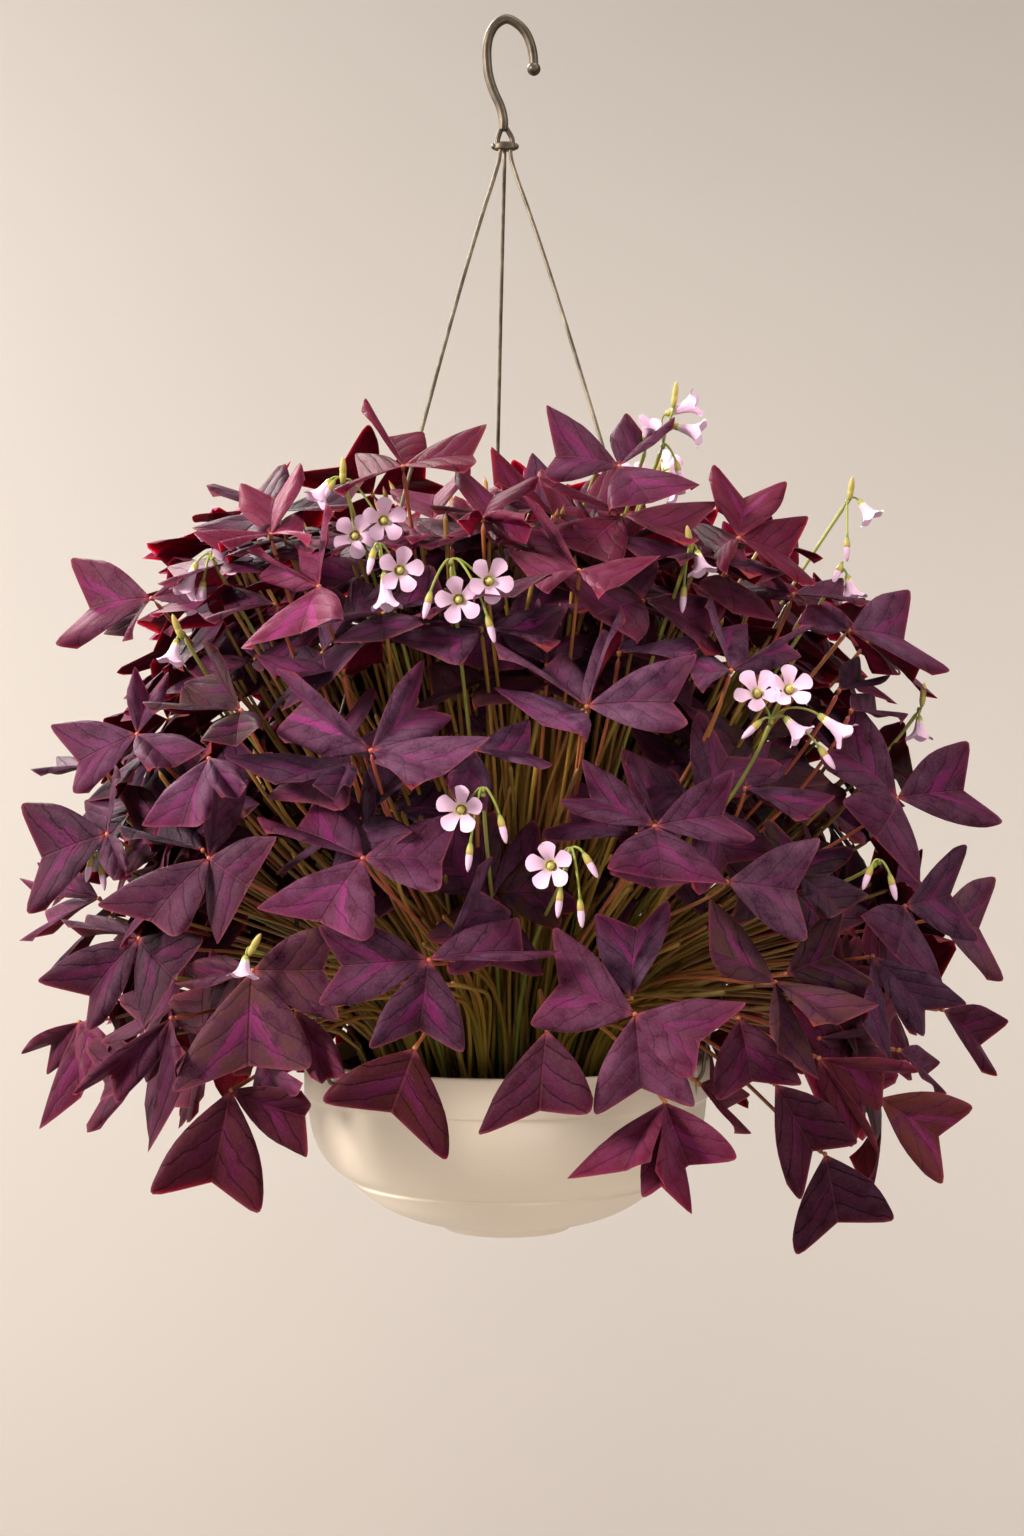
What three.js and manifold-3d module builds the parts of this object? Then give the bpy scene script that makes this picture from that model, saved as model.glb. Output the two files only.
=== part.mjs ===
// Purple shamrock, Oxalis triangularis, growing in a hanging bowl.
// Millimetres, +Z up. The origin is the seat of the hook, the point the whole thing hangs from.
// The front is -Y and +X is to the right of it.
import * as THREE from "three";
import { mergeVertices } from "three/addons/utils/BufferGeometryUtils.js";
import Module from "manifold-3d";

const wasm = await Module();
wasm.setup();

// Hanger
const HOOK_BAR = 4.7;
const HOOK_BALL = 6.8;
const LEG_BAR = 2.6;
const COLLAR_WIDTH = 11.4;
const COLLAR_DEPTH = 6.4;
const COLLAR_TOP = -59.4;
const COLLAR_HEIGHT = 3.9;
const COLLAR_X = -1;
const WIRE = 1.9;
const WIRE_BEARINGS = [-55, 65, 185];
const WIRE_TOP = -61.9;

// Bowl, heights measured from its rim
const RIM_Z = -515;
const RIM_RADIUS = 101;
const BAND_HEIGHT = 19;
const WALL = 3;
const HOLE_DROP = 8;
const HOLE_RADIUS = 1.8;
const SOIL_DROP = 13;
const SOIL_GAP = 0.3;

// Foliage
const LEAFLET = 46;
const BLADE = 0.8;
const HUB_DEPTH = 1.8;
const STALK_RADIUS = 1.2;
const BACK_LEAVES = 36;
const TOP_LEAVES = 6;
const CROWN_SHARE = 4;
const CROWN_RADIUS = 4;
const BASE_RADIUS = 72;
const GAP = 0.35;

// Flowers
const SCAPE_RADIUS = 0.85;
const SCAPE_ROOT = 2.2;
const PEDICEL_RADIUS = 0.6;
const FLOWER_RADIUS = 11.5;
const BACK_HEADS = 3;

// The front of the plant is laid out as it looks to an eye VIEW away, EYE_X to the right of the
// axis and EYE_RISE above the rim.
const VIEW = 1237;
const EYE_X = 2.5;
const EYE_RISE = 143;

// Front leaves: hub across and above the rim, layer in per cent of the dome, tilt and turn in degrees,
// then for each leaflet its two corners, across and up from the hub.
const FRONT_LEAVES = [
[-178, 228, 100, 20, -30, [-36, 20, -44, -25], [-12, -22, -22, -18], [41, 19, 38, 4]],
  [-118, 260, 100, 60, 0, [-16, 22, 16, 33], [-38, -1, -24, -6], [16, 10, 20, -3]],
  [-52, 294, 100, 45, 0, [-20, 32, 11, 14], [40, 20, 34, -1], [-34, -13, -22, 6]],
  [-12, 268, 90, 50, 0, [-14, 24, 28, 19], [21, 0, 22, -13], [-18, -10, -11, -1]],
  [-28, 257, 75, 60, 0, [-2, 16, 14, 14], [-25, 10, -22, 0]],
  [-94, 234, 100, 30, 0, [6, 40, -9, 19], [-35, 18, -28, 3], [-38, -32, 10, -17]],
  [-116, 225, 90, 30, 0, [-26, 8, -34, -9]],
  [56, 294, 100, 25, 0, [-35, 29, -36, -8], [2, 24, 28, 22], [40, -10, -4, -22]],
  [53, 250, 85, 55, 0, [-20, 29, -8, 20], [14, 22, 24, 16], [40, 14, 34, 4]],
  [36, 242, 100, 45, 0, [-25, 36, -28, 16], [-35, 8, -18, -12], [40, 6, 12, -12]],
  [116, 258, 100, 20, 5, [-14, 35, 24, 26], [32, 10, 36, -25], [-24, 6, -8, -18]],
  [143, 230, 85, 60, 10, [-26, 18, -29, 3], [23, 7, 38, -5]],
  [171, 212, 100, 15, 20, [27, 20, 48, -22], [24, -23, 12, -14], [-14, 14, -26, 4]],
  [-185, 160, 100, 20, -20, [-2, 31, 16, 28], [-41, 5, -29, -30], [34, -7, 8, -17]],
  [-201, 144, 88, 75, -20, [-36, -4, -22, 3]],
  [-133, 172, 100, 35, -10, [-16, 34, -26, 11], [-48, 2, -26, 10], [-20, -16, 10, -10]],
  [-149, 148, 100, 35, -10, [-33, -32, -2, -32], [19, -14, 8, -20]],
  [-200, 110, 100, 15, -20, [-40, 16, -37, -40], [-10, 14, 6, 33], [10, -17, 3, -23]],
  [-68, 152, 100, 30, 0, [24, 44, 39, 14], [58, 5, 24, -18], [-44, 41, -44, 7]],
  [-78, 145, 93, 30, 0, [-62, 4, -30, -10], [-19, -12, -2, -12]],
  [-82, 192, 85, 65, 0, [-42, 7, -30, -4], [20, 15, 14, 2]],
  [-16, 152, 88, 35, 0, [25, 14, 37, -10], [-14, -18, 6, -30]],
  [-72, 98, 100, 15, 0, [-52, 18, -18, 28], [46, 22, 36, -18], [-52, -24, 3, -41]],
  [-70, 102, 94, 15, 0, [-18, 30, 1, 38]],
  [-39, 47, 100, 10, 0, [-52, 18, -52, -23], [40, 20, 64, 2], [-30, -42, 18, -44]],
  [-32, 50, 93, 10, 0, [22, 48, 32, 18]],
  [-127, 42, 100, 10, -10, [38, 22, 41, -25], [-40, -58, 30, -46], [-36, -8, -32, 4]],
  [40, 174, 100, 35, 0, [-46, 30, -10, 24], [7, 34, 18, 48], [52, 25, 47, -12]],
  [38, 172, 95, 35, 0, [-44, 10, 1, -14]],
  [56, 201, 85, 55, 0, [2, 22, 14, 12], [44, 8, 35, -2]],
  [20, 195, 80, 45, 0, [-24, 16, -2, 30], [8, 28, 21, 12]],
  [112, 192, 100, 40, 5, [-11, 36, 8, 20], [40, 23, 32, 6], [-24, 11, -16, -10]],
  [74, 114, 100, 25, 0, [-34, 32, -46, 10], [37, 28, 48, -8], [-24, -22, 36, -29]],
  [74, 116, 93, 25, 0, [-14, 34, 12, 18]],
  [110, 86, 96, 15, 5, [44, 22, 37, -30]],
  [64, 20, 100, 8, 0, [-38, 43, -50, -7], [54, 6, 26, -32], [-21, -48, 30, -44]],
  [62, 28, 95, 8, 0, [-18, 39, 20, 46]],
  [195, 128, 100, 20, 15, [-20, 48, -38, 18], [32, 28, 50, -14], [-28, -2, 11, -43]],
  [172, 172, 88, 50, 10, [9, 8, 28, -3]],
  [166, 182, 85, 40, 10, [8, 16, 25, 6]],
  [119, 133, 85, 30, 5, [43, -4, 30, -16], [10, 22, 22, 12]],
  [-149, 98, 100, 15, -15, [0, 46, 19, 36], [34, 11, 4, -43], [-54, -22, -14, -38]],
  [-152, 102, 93, 25, -15, [-42, 10, -17, 15]],
  [-184, 58, 100, 20, -20, [-48, -20, -22, -46], [32, 0, 2, -44], [-38, 7, -23, 10]],
  [-204, 78, 93, 35, -25, [-38, -22, -24, -6], [-38, 8, -28, 17]],
  [-214, 16, 100, 10, -25, [-28, -14, -14, -25], [-18, -52, 6, -31], [16, -12, 4, -28]],
  [-168, 18, 100, 5, -20, [-48, -36, -24, -40], [-10, -66, 4, -21]],
  [-46, 3, 97, 0, 0, [-46, -24, 17, -54]],
  [-105, 22, 90, 5, 0, [24, -32, 10, -36]],
  [-122, 2, 92, 0, -10, [-5, -34, 19, -20]],
  [-138, -18, 100, 0, -15, [-40, -48, 16, -58], [36, -33, 38, -4]],
  [20, 12, 97, 0, 0, [-34, -50, 23, -39]],
  [79, -24, 100, 0, 0, [-47, -38, -12, -32], [-12, -46, 36, -26], [-2, -40, 12, -54]],
  [96, -15, 92, 0, 5, [24, -25, 23, -4]],
  [116, 18, 93, 5, 5, [-12, -40, 31, -32]],
  [134, 36, 100, 10, 5, [-32, 40, -30, 6], [50, -12, 24, -22], [20, -48, -2, -30]],
  [139, 40, 94, 10, 5, [26, 32, 42, -6]],
  [199, 74, 100, 12, 20, [28, 31, 34, -18], [-21, -6, 21, -46]],
  [214, 68, 92, 12, 25, [28, 21, 32, -32]],
  [183, 49, 93, 10, 15, [45, -22, 22, -39], [8, -52, -4, -26]],
  [218, 22, 95, 5, 25, [30, -4, 24, -33]],
  [196, 2, 88, 5, 15, [18, -5, 22, -22]],
  [186, -22, 98, 0, 15, [44, -2, 28, -42]],
  [156, -2, 97, 0, 10, [48, -4, 27, -25], [30, -46, 14, -41]],
  [134, -15, 97, 0, 10, [10, -56, 40, -26]],
  [159, -50, 100, 0, 10, [-16, -48, 34, -30]],
  [156, 8, 88, 10, 10, [26, 2, 22, -7]],
  [146, 90, 82, 20, 5, [14, -22, 34, -10]],
];

// Front flower heads: joint across and above the rim, layer, then each flower or bud from the joint
const FRONT_HEADS = [
[-82, 286, 100, ["o", 6, -27], ["o", 21, -19], ["b", 0, 6], ["b", -8, -5], ["c", -14, -10]],
  [-64, 254, 100, ["o", 11, -12], ["c", 4, -32], ["b", -4, -8]],
  [-28, 246, 106, ["o", 4, -19], ["o", 20, -9], ["b", 20, -34], ["b", -12, -22]],
  [-148, 249, 100, ["o", 12, 1], ["c", -14, -20], ["c", -6, -30], ["b", 5, 4]],
  [-162, 210, 100, ["c", -6, -15], ["b", -3, 4]],
  [78, 304, 100, ["c", 20, 6], ["c", 18, 22], ["b", 8, -14], ["b", 6, 26]],
  [70, 304, 100, ["c", 2, 12]],
  [92, 254, 100, ["c", 6, -14], ["b", -4, -27], ["b", -1, 4]],
  [170, 276, 100, ["c", 13, -9], ["b", 0, -24], ["b", 2, 7]],
  [167, 242, 100, ["c", 6, -15], ["b", -2, -2]],
  [206, 172, 100, ["c", 0, -15], ["b", 2, 8]],
  [132, 166, 105, ["o", -7, 16], ["o", 10, 18], ["c", 16, -8], ["c", 39, -8], ["b", -10, -4],
    ["b", 28, -18]],
  [-12, 132, 100, ["o", -12, -10], ["b", -7, -34], ["b", 10, -20]],
  [32, 102, 100, ["o", -11, -8], ["b", -6, -27], ["b", 5, -32], ["b", 10, -8]],
  [-205, 100, 100, ["b", -4, -8], ["b", 3, -12]],
  [-129, 52, 105, ["c", -3, -14], ["b", 3, 3]],
  [186, 96, 100, ["b", -6, -8], ["b", 7, -13]],
];

const UP = new THREE.Vector3(0, 0, 1);
const vec = (x, y, z) => new THREE.Vector3(x, y, z);
const rad = THREE.MathUtils.degToRad;
const clamp = THREE.MathUtils.clamp;
const lerp = THREE.MathUtils.lerp;

// Seeded draws, equal on every run
let seed = 20719;
function draw(low, high) {
  seed = (Math.imul(seed, 1664525) + 1013904223) >>> 0;
  return low + ((high - low) * seed) / 4294967296;
}

// Solids

function solid(geometry) {
  const plain = new THREE.BufferGeometry();
  plain.setAttribute("position", geometry.getAttribute("position"));
  if (geometry.index) plain.setIndex(geometry.index);
  const merged = mergeVertices(plain, 1e-4);
  return new wasm.Manifold(
    new wasm.Mesh({
      numProp: 3,
      vertProperties: Float32Array.from(merged.attributes.position.array),
      triVerts: Uint32Array.from(merged.index.array),
    }),
  );
}

function geometryOf(manifold) {
  const mesh = manifold.getMesh();
  const geometry = new THREE.BufferGeometry();
  geometry.setAttribute("position", new THREE.BufferAttribute(mesh.vertProperties, 3));
  geometry.setIndex(new THREE.BufferAttribute(mesh.triVerts, 1));
  geometry.computeVertexNormals();
  return geometry;
}

function join(parts) {
  return parts.reduce((all, part) => all.add(part));
}

// The one connected body that holds most of the volume
function largest(manifold) {
  const pieces = manifold.decompose();
  return pieces.reduce((best, piece) => (piece.volume() > best.volume() ? piece : best));
}

function boxesMeet(a, b) {
  const p = a.boundingBox();
  const q = b.boundingBox();
  return [0, 1, 2].every((i) => p.min[i] < q.max[i] && q.min[i] < p.max[i]);
}

// Flat ring of points for a bar section
function section(radius, sides) {
  const points = [];
  for (let i = 0; i < sides; i++) {
    const angle = (i / sides) * Math.PI * 2;
    points.push(new THREE.Vector2(radius * Math.cos(angle), radius * Math.sin(angle)));
  }
  return new THREE.Shape(points);
}

function bar(curve, radius, sides, steps) {
  return solid(new THREE.ExtrudeGeometry(section(radius, sides), { steps, extrudePath: curve }));
}

function solidFrom(points, faces) {
  const geometry = new THREE.BufferGeometry().setFromPoints(points);
  geometry.setIndex(faces.flat());
  return solid(geometry);
}

// Three points round a spot, in the plane of two unit vectors
function triangle(spot, u, v, radius) {
  return [0, 120, 240].map((angle) => {
    const point = spot.clone().addScaledVector(u, radius * Math.cos(rad(angle)));
    return point.addScaledVector(v, radius * Math.sin(rad(angle)));
  });
}

// Three-sided stalk along a curve. A seat, if given, is the triangle it ends in, shared with what
// the stalk carries.
function stalk(curve, radius, steps, seat) {
  const spots = curve.getSpacedPoints(steps);
  const ways = spots.map((spot, i) => {
    const from = spots[Math.max(0, i - 1)];
    return spots[Math.min(steps, i + 1)].clone().sub(from).normalize();
  });
  let u = seat ? seat.u.clone() : vec(0.31, 0.95, 0.05).cross(ways[steps]).normalize();
  const rings = [];
  for (let i = steps; i >= 0; i--) {
    u.addScaledVector(ways[i], -u.dot(ways[i])).normalize();
    rings[i] = triangle(spots[i], u, ways[i].clone().cross(u), radius);
  }
  if (seat) rings[steps] = triangle(seat.spot, seat.u, seat.v, radius);
  const faces = [[2, 1, 0], [3 * steps, 3 * steps + 1, 3 * steps + 2]];
  for (let i = 0; i < steps; i++) {
    for (let k = 0; k < 3; k++) {
      const a = 3 * i + k;
      const b = 3 * i + ((k + 1) % 3);
      faces.push([a, b, b + 3], [a, b + 3, a + 3]);
    }
  }
  return solidFrom(rings.flat(), faces);
}

// Faces between a loop of points and the seat of three inside it, both listed the same way round
function seatFaces(loop, loopAngles, seat) {
  const full = 2 * Math.PI;
  const turn = (angle) => (((angle - loopAngles[0]) % full) + full) % full;
  const seatTurns = [0, 1, 2].map((k) => turn(rad(120 * k)));
  const first = seatTurns.indexOf(Math.min(...seatTurns));
  const faces = [];
  let i = 0;
  let k = 0;
  while (i < loop.length || k < 3) {
    const here = seat[(first + k + 2) % 3];
    const nextLoop = i + 1 < loop.length ? turn(loopAngles[i + 1]) : full;
    if (k === 3 || (i < loop.length && nextLoop < seatTurns[(first + k) % 3])) {
      faces.push([here, loop[i], loop[(i + 1) % loop.length]]);
      i++;
    } else {
      faces.push([here, loop[i % loop.length], seat[(first + k) % 3]]);
      k++;
    }
  }
  return faces;
}

// Hanger

// A path whose steps fall on its own knots, so that a tight bend is stepped more finely than a run
class KnotPath extends THREE.Curve {
  constructor(knots) {
    super();
    this.knots = knots;
    this.steps = knots.length - 1;
  }

  getPointAt(u) {
    const i = Math.min(Math.floor(u * this.steps + 1e-6), this.steps - 1);
    return this.knots[i].clone().lerp(this.knots[i + 1], u * this.steps - i);
  }

  getTangentAt(u) {
    const i = Math.round(u * this.steps);
    const before = this.knots[Math.max(0, i - 1)];
    return this.knots[Math.min(this.steps, i + 1)].clone().sub(before).normalize();
  }
}

function knotBar(knots, radius, sides) {
  return bar(new KnotPath(knots), radius, sides, knots.length - 1);
}

const HOOK_LINE = [
  [13.4, -21.5], [13, -15.5], [11.6, -9.5], [9, -4], [5.2, -0.1], [0, 2.35], [-5.2, -0.1], [-8.4, -5],
  [-9.9, -11], [-10, -18], [-9.1, -26], [-6.4, -34.5], [-3.3, -41.5], [-1.8, -48], [-1.9, -53.5],
];

function hookLegs(radius, foot) {
  const left = [[-1.9, -50], [-3.5, -54], [-4.6, -57.5], [-4.8, foot]];
  const right = [[-1.9, -50], [0.7, -54], [2.5, -57.5], [2.8, foot]];
  return [left, right].map((line) => knotBar(line.map(([x, z]) => vec(x, 0, z)), radius, 5));
}

function hangerHook() {
  const crook = knotBar(HOOK_LINE.map(([x, z]) => vec(x, 0, z)), HOOK_BAR / 2, 8);
  const ball = solid(new THREE.SphereGeometry(HOOK_BALL / 2, 8, 6).translate(13.4, 0, -22.6));
  return join([crook, ball, ...hookLegs(LEG_BAR / 2, COLLAR_TOP - 1.5)]);
}

// A wire leaves the collar steeply, slants out over the leaves and comes back in to the rim, where
// its end passes through a hole in the band and turns up
function wireKnots(bearing, top) {
  const hole = RIM_Z - HOLE_DROP;
  const line = [
    [2.8, top], [3.3, -67], [6, -76], [12, -92], [64, -250], [116, -408], [120.4, -424], [121, -444],
    [114, -480], [107, hole + 21], [105, hole + 11], [104, hole + 4], [102, hole + 0.8], [99, hole],
    [94, hole], [91.6, hole + 1.4], [90.8, hole + 4.6],
  ];
  const across = Math.sin(rad(bearing));
  const along = -Math.cos(rad(bearing));
  const shift = (z) => COLLAR_X * clamp(1 + (z - COLLAR_TOP) / 300, 0, 1);
  return line.map(([r, z]) => vec(r * across + shift(z), r * along, z));
}

function hangerWire(bearing, radius, top) {
  return knotBar(wireKnots(bearing, top), radius, 5);
}

function hangerCollar() {
  const block = new THREE.CylinderGeometry(1, 1, COLLAR_HEIGHT, 12);
  block.rotateX(Math.PI / 2).scale(COLLAR_WIDTH / 2, COLLAR_DEPTH / 2, 1);
  block.translate(COLLAR_X, 0, COLLAR_TOP - COLLAR_HEIGHT / 2);
  const knobs = [-COLLAR_WIDTH / 2 + 0.4, COLLAR_WIDTH / 2 - 0.4].map((x) =>
    solid(new THREE.SphereGeometry(1.7, 6, 4).translate(COLLAR_X + x, 0, COLLAR_TOP - 1.9)),
  );
  const bores = hookLegs(LEG_BAR / 2 + GAP, COLLAR_TOP - 1.5 - GAP).concat(
    WIRE_BEARINGS.map((bearing) => hangerWire(bearing, WIRE / 2 + GAP, WIRE_TOP + GAP)),
  );
  return join([solid(block), ...knobs]).subtract(join(bores));
}

// Bowl and soil

function turned(profile, segments) {
  const points = profile.map(([r, z]) => new THREE.Vector2(r, RIM_Z + z));
  const geometry = new THREE.LatheGeometry(points, segments).rotateX(Math.PI / 2);
  return solid(geometry);
}

const BOWL_OUTSIDE = [
  [0, -84], [28, -84], [28.5, -86], [31.5, -86], [33, -82.6], [50, -79], [66, -71.3], [77.5, -61.9],
  [77.6, -60.5], [86.5, -54.6], [93.4, -46], [98, -33], [99.6, -BAND_HEIGHT],
];

function bowlInside(inset) {
  const line = [[99.6, -BAND_HEIGHT], [98, -33], [93.4, -46], [77.6, -60.5], [50, -78]];
  return line.map(([r, z]) => [r - WALL * 0.9 - inset, z + WALL * 0.7 + inset]);
}

function bowl() {
  const lip = [[RIM_RADIUS, -BAND_HEIGHT + 1], [RIM_RADIUS, -0.8], [RIM_RADIUS - 1.2, 0], [97, 0]];
  const inside = bowlInside(0);
  const profile = [...BOWL_OUTSIDE, ...lip, ...inside, [0, inside.at(-1)[1] + 0.5]];
  const holes = WIRE_BEARINGS.map((bearing) => {
    const drill = new THREE.CylinderGeometry(HOLE_RADIUS, HOLE_RADIUS, 16, 8).rotateZ(Math.PI / 2);
    drill.translate(98, 0, RIM_Z - HOLE_DROP).rotateZ(rad(bearing - 90));
    return solid(drill);
  });
  return turned(profile, 24).subtract(join(holes));
}

function soil(crowns) {
  const wall = bowlInside(SOIL_GAP);
  const bottom = wall.at(-1)[1] + 0.8;
  const edge = [wall.at(-1)[0] - 0.4, -SOIL_DROP - 3.5];
  const profile = [[0, bottom], ...wall.reverse(), edge, [0, -SOIL_DROP]];
  const holes = crowns.map(({ x, y, radius }) => {
    const hole = new THREE.CylinderGeometry(1.42 * (radius + 0.5), 1.42 * (radius + 0.5), 24, 4);
    return solid(hole.rotateX(Math.PI / 2).translate(x, y, RIM_Z - SOIL_DROP));
  });
  return turned(profile, 24).subtract(join(holes));
}

// Layout of the plant: a low dome whose skirt hangs over the rim

function domeRadius(rise) {
  if (rise < 30) return 215 - 0.35 * (30 - rise);
  return 215 * Math.sqrt(Math.max(0, 1 - ((rise - 30) / 298) ** 3));
}

// The point that looks [across, rise] at depth y
function seenAt(across, rise, y) {
  const scale = (y + VIEW) / VIEW;
  return vec(EYE_X + (across - EYE_X) * scale, y, RIM_Z + EYE_RISE + (rise - EYE_RISE) * scale);
}

// The point of the front of the dome, shrunk to layer per cent, that looks [across, rise]
function onFront(across, rise, layer) {
  let point = seenAt(across, rise, 0);
  for (let i = 0; i < 12; i++) {
    const reach = domeRadius(point.z - RIM_Z) ** 2 - point.x ** 2;
    const y = (-layer / 100) * Math.sqrt(Math.max(0, reach));
    point = seenAt(across, rise, (point.y + y) / 2);
  }
  return point;
}

// Axes of a leaf that faces up by tilt and is turned about the upright by turn from the front
function leafAxes(tilt, turn) {
  const face = vec(Math.sin(turn) * Math.cos(tilt), -Math.cos(turn) * Math.cos(tilt), Math.sin(tilt));
  const right = vec(Math.cos(turn), Math.sin(turn), 0);
  return { face, right, above: face.clone().cross(right) };
}

// Two corners of a leaflet from the bearing of its rib in the leaf's plane
function corners(hub, axes, bearing, droop, fold, size) {
  const rib = axes.right.clone().multiplyScalar(Math.cos(bearing));
  rib.addScaledVector(axes.above, Math.sin(bearing));
  const side = axes.right.clone().multiplyScalar(-Math.sin(bearing));
  side.addScaledVector(axes.above, Math.cos(bearing));
  const face = axes.face.clone().multiplyScalar(Math.cos(droop)).addScaledVector(rib, Math.sin(droop));
  rib.multiplyScalar(Math.cos(droop)).addScaledVector(axes.face, -Math.sin(droop));
  return [1, -1].map((hand) =>
    hub
      .clone()
      .addScaledVector(rib, 0.8 * size)
      .addScaledVector(side, 0.58 * size * Math.cos(fold) * hand)
      .addScaledVector(face, 0.58 * size * Math.sin(fold)),
  );
}

// A leaf from the front list. A leaflet is listed by how its two corners look from the hub; the
// leaf's plane and the leaflet's length give their depth.
function frontLeaf([across, rise, layer, tilt, turn, ...seen]) {
  const hub = onFront(across, rise, layer);
  const axes = leafAxes(rad(tilt), rad(turn));
  const scale = (hub.y + VIEW) / VIEW;
  const leaflets = seen.map(([x1, z1, x2, z2]) =>
    [[x1, z1], [x2, z2]].map(([x, z]) => {
      const flat = Math.hypot(x, z) * scale;
      const slope = (-(axes.face.x * x + axes.face.z * z) / axes.face.y) * scale;
      const reach = clamp(Math.hypot(flat, slope), 0.86 * LEAFLET, 1.08 * LEAFLET);
      const depth = Math.sign(slope || -1) * Math.sqrt(Math.max(0, reach ** 2 - flat ** 2));
      return seenAt(across + x, rise + z, hub.y + depth);
    }),
  );
  return { hub, axes, leaflets };
}

// Leaves of the top, the back and the sides, spread evenly by a golden-ratio lattice: the first ones
// lie over the middle of the top, the others stand round the back half of the dome
function backLeaf(i) {
  const top = i < TOP_LEAVES;
  const down = top ? 42 + 4 * i : 353 * ((i - TOP_LEAVES + 1.3) / (BACK_LEAVES - TOP_LEAVES + 1)) ** 0.9;
  const rise = 310 - down + draw(-5, 5);
  const around = rad(-5 + (top ? 360 : 190) * ((i * 0.618034) % 1) + draw(-4, 4));
  const share = draw(0.9, 1);
  const radius = top ? 95 * Math.sqrt((i + 0.5) / TOP_LEAVES) : domeRadius(rise) * share;
  const shift = top ? 22 : 0;
  const hub = vec(radius * Math.cos(around), radius * Math.sin(around) + shift, RIM_Z + rise);
  const tilt = rad(8 + 52 * clamp((rise - 10) / 290, 0, 1) ** 1.2 + draw(-10, 10));
  const axes = leafAxes(tilt, around + Math.PI / 2 + rad(draw(-12, 12)));
  const first = draw(0, Math.PI * 2);
  const low = clamp((90 - rise) / 120, 0, 1);
  const leaflets = [0, 1, 2].map((k) => {
    const bearing = first + rad(120 * k + draw(-10, 10));
    return corners(hub, axes, bearing, rad(draw(2, 14) + 22 * low), rad(draw(12, 30)), draw(43, 49));
  });
  return { hub, axes, leaflets };
}

function seatOf({ hub, axes }) {
  const spot = hub.clone().addScaledVector(axes.face, -HUB_DEPTH);
  return { spot, u: axes.right, v: axes.above };
}

// The leaflets of one leaf as a single folded plate round the hub, with the seat of its stalk below.
// Each leaflet is widest at its two corners, with a notch between them. grow makes the larger copy
// that clears room for the leaf in its neighbours.
function bladeSolid({ hub, axes, leaflets }, grow) {
  const half = BLADE / 2 + grow;
  const spokes = leaflets.map((pair) => {
    const middle = pair[0].clone().add(pair[1]).multiplyScalar(0.5);
    const rib = middle.clone().sub(hub).normalize();
    let [right, left] = pair.map((corner) => corner.clone());
    let up = right.clone().sub(hub).cross(left.clone().sub(hub)).normalize();
    if (up.dot(axes.face) < 0) [right, left, up] = [left, right, up.negate()];
    const reach = (right.distanceTo(hub) + left.distanceTo(hub)) / 2;
    const fold = Math.sqrt(Math.max(0, (0.59 * reach) ** 2 - right.distanceToSquared(left) / 4));
    const notch = hub.clone().lerp(middle, 0.83).addScaledVector(up, -0.5 * Math.min(fold, 0.3 * reach));
    const across = left.clone().sub(right).normalize();
    right.addScaledVector(rib, grow).addScaledVector(across, -grow * 1.5);
    left.addScaledVector(rib, grow).addScaledVector(across, grow * 1.5);
    notch.addScaledVector(rib, grow);
    return { right, left, notch, up, bearing: Math.atan2(rib.dot(axes.above), rib.dot(axes.right)) };
  });
  spokes.sort((a, b) => a.bearing - b.bearing);

  const outline = [];
  const top = [];
  const inner = [];
  const angles = [];
  const add = (point, up, angle) => {
    if (angle !== undefined) {
      inner.push(outline.length);
      angles.push(angle);
    }
    return outline.push({ point, up }) - 1;
  };
  const ringPoint = (bearing) => {
    const point = hub.clone().addScaledVector(axes.right, (2.1 + grow) * Math.cos(bearing));
    point.addScaledVector(axes.above, (2.1 + grow) * Math.sin(bearing));
    return add(point, axes.face, bearing);
  };
  spokes.forEach((spoke, i) => {
    const next = spokes[(i + 1) % spokes.length];
    const last = spokes[(i + spokes.length - 1) % spokes.length];
    const full = Math.PI * 2;
    const after = spokes.length === 1 ? full : (next.bearing - spoke.bearing + full) % full;
    const before = spokes.length === 1 ? full : (spoke.bearing - last.bearing + full) % full;
    const a = ringPoint(spoke.bearing - Math.min(0.55, 0.4 * before));
    const right = add(spoke.right, spoke.up);
    const notch = add(spoke.notch, spoke.up, spoke.bearing);
    const left = add(spoke.left, spoke.up);
    const b = ringPoint(spoke.bearing + Math.min(0.55, 0.4 * after));
    top.push([a, right, notch], [notch, left, b]);
    const stops = after > rad(280) ? 2 : after > rad(150) ? 1 : 0;
    for (let k = 1; k <= stops; k++) ringPoint(spoke.bearing + (after * k) / (stops + 1));
  });

  const n = outline.length;
  const points = [1, -1].flatMap((hand) =>
    outline.map(({ point, up }) => point.clone().addScaledVector(up, half * hand)),
  );
  points.push(hub.clone().addScaledVector(axes.face, half));
  const seat = seatOf({ hub, axes });
  points.push(...triangle(seat.spot, seat.u, seat.v, STALK_RADIUS + grow));
  const faces = [...top];
  inner.forEach((a, i) => faces.push([2 * n, a, inner[(i + 1) % inner.length]]));
  for (const [a, b, c] of top) faces.push([a + n, c + n, b + n]);
  const under = inner.map((a) => a + n);
  const seatRing = [2 * n + 1, 2 * n + 2, 2 * n + 3];
  for (const [a, b, c] of seatFaces(under, angles, seatRing)) faces.push([a, c, b]);
  faces.push([2 * n + 1, 2 * n + 3, 2 * n + 2]);
  for (let i = 0; i < n; i++) {
    const j = (i + 1) % n;
    faces.push([j, i, i + n], [j, i + n, j + n]);
  }
  return solidFrom(points, faces);
}

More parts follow.
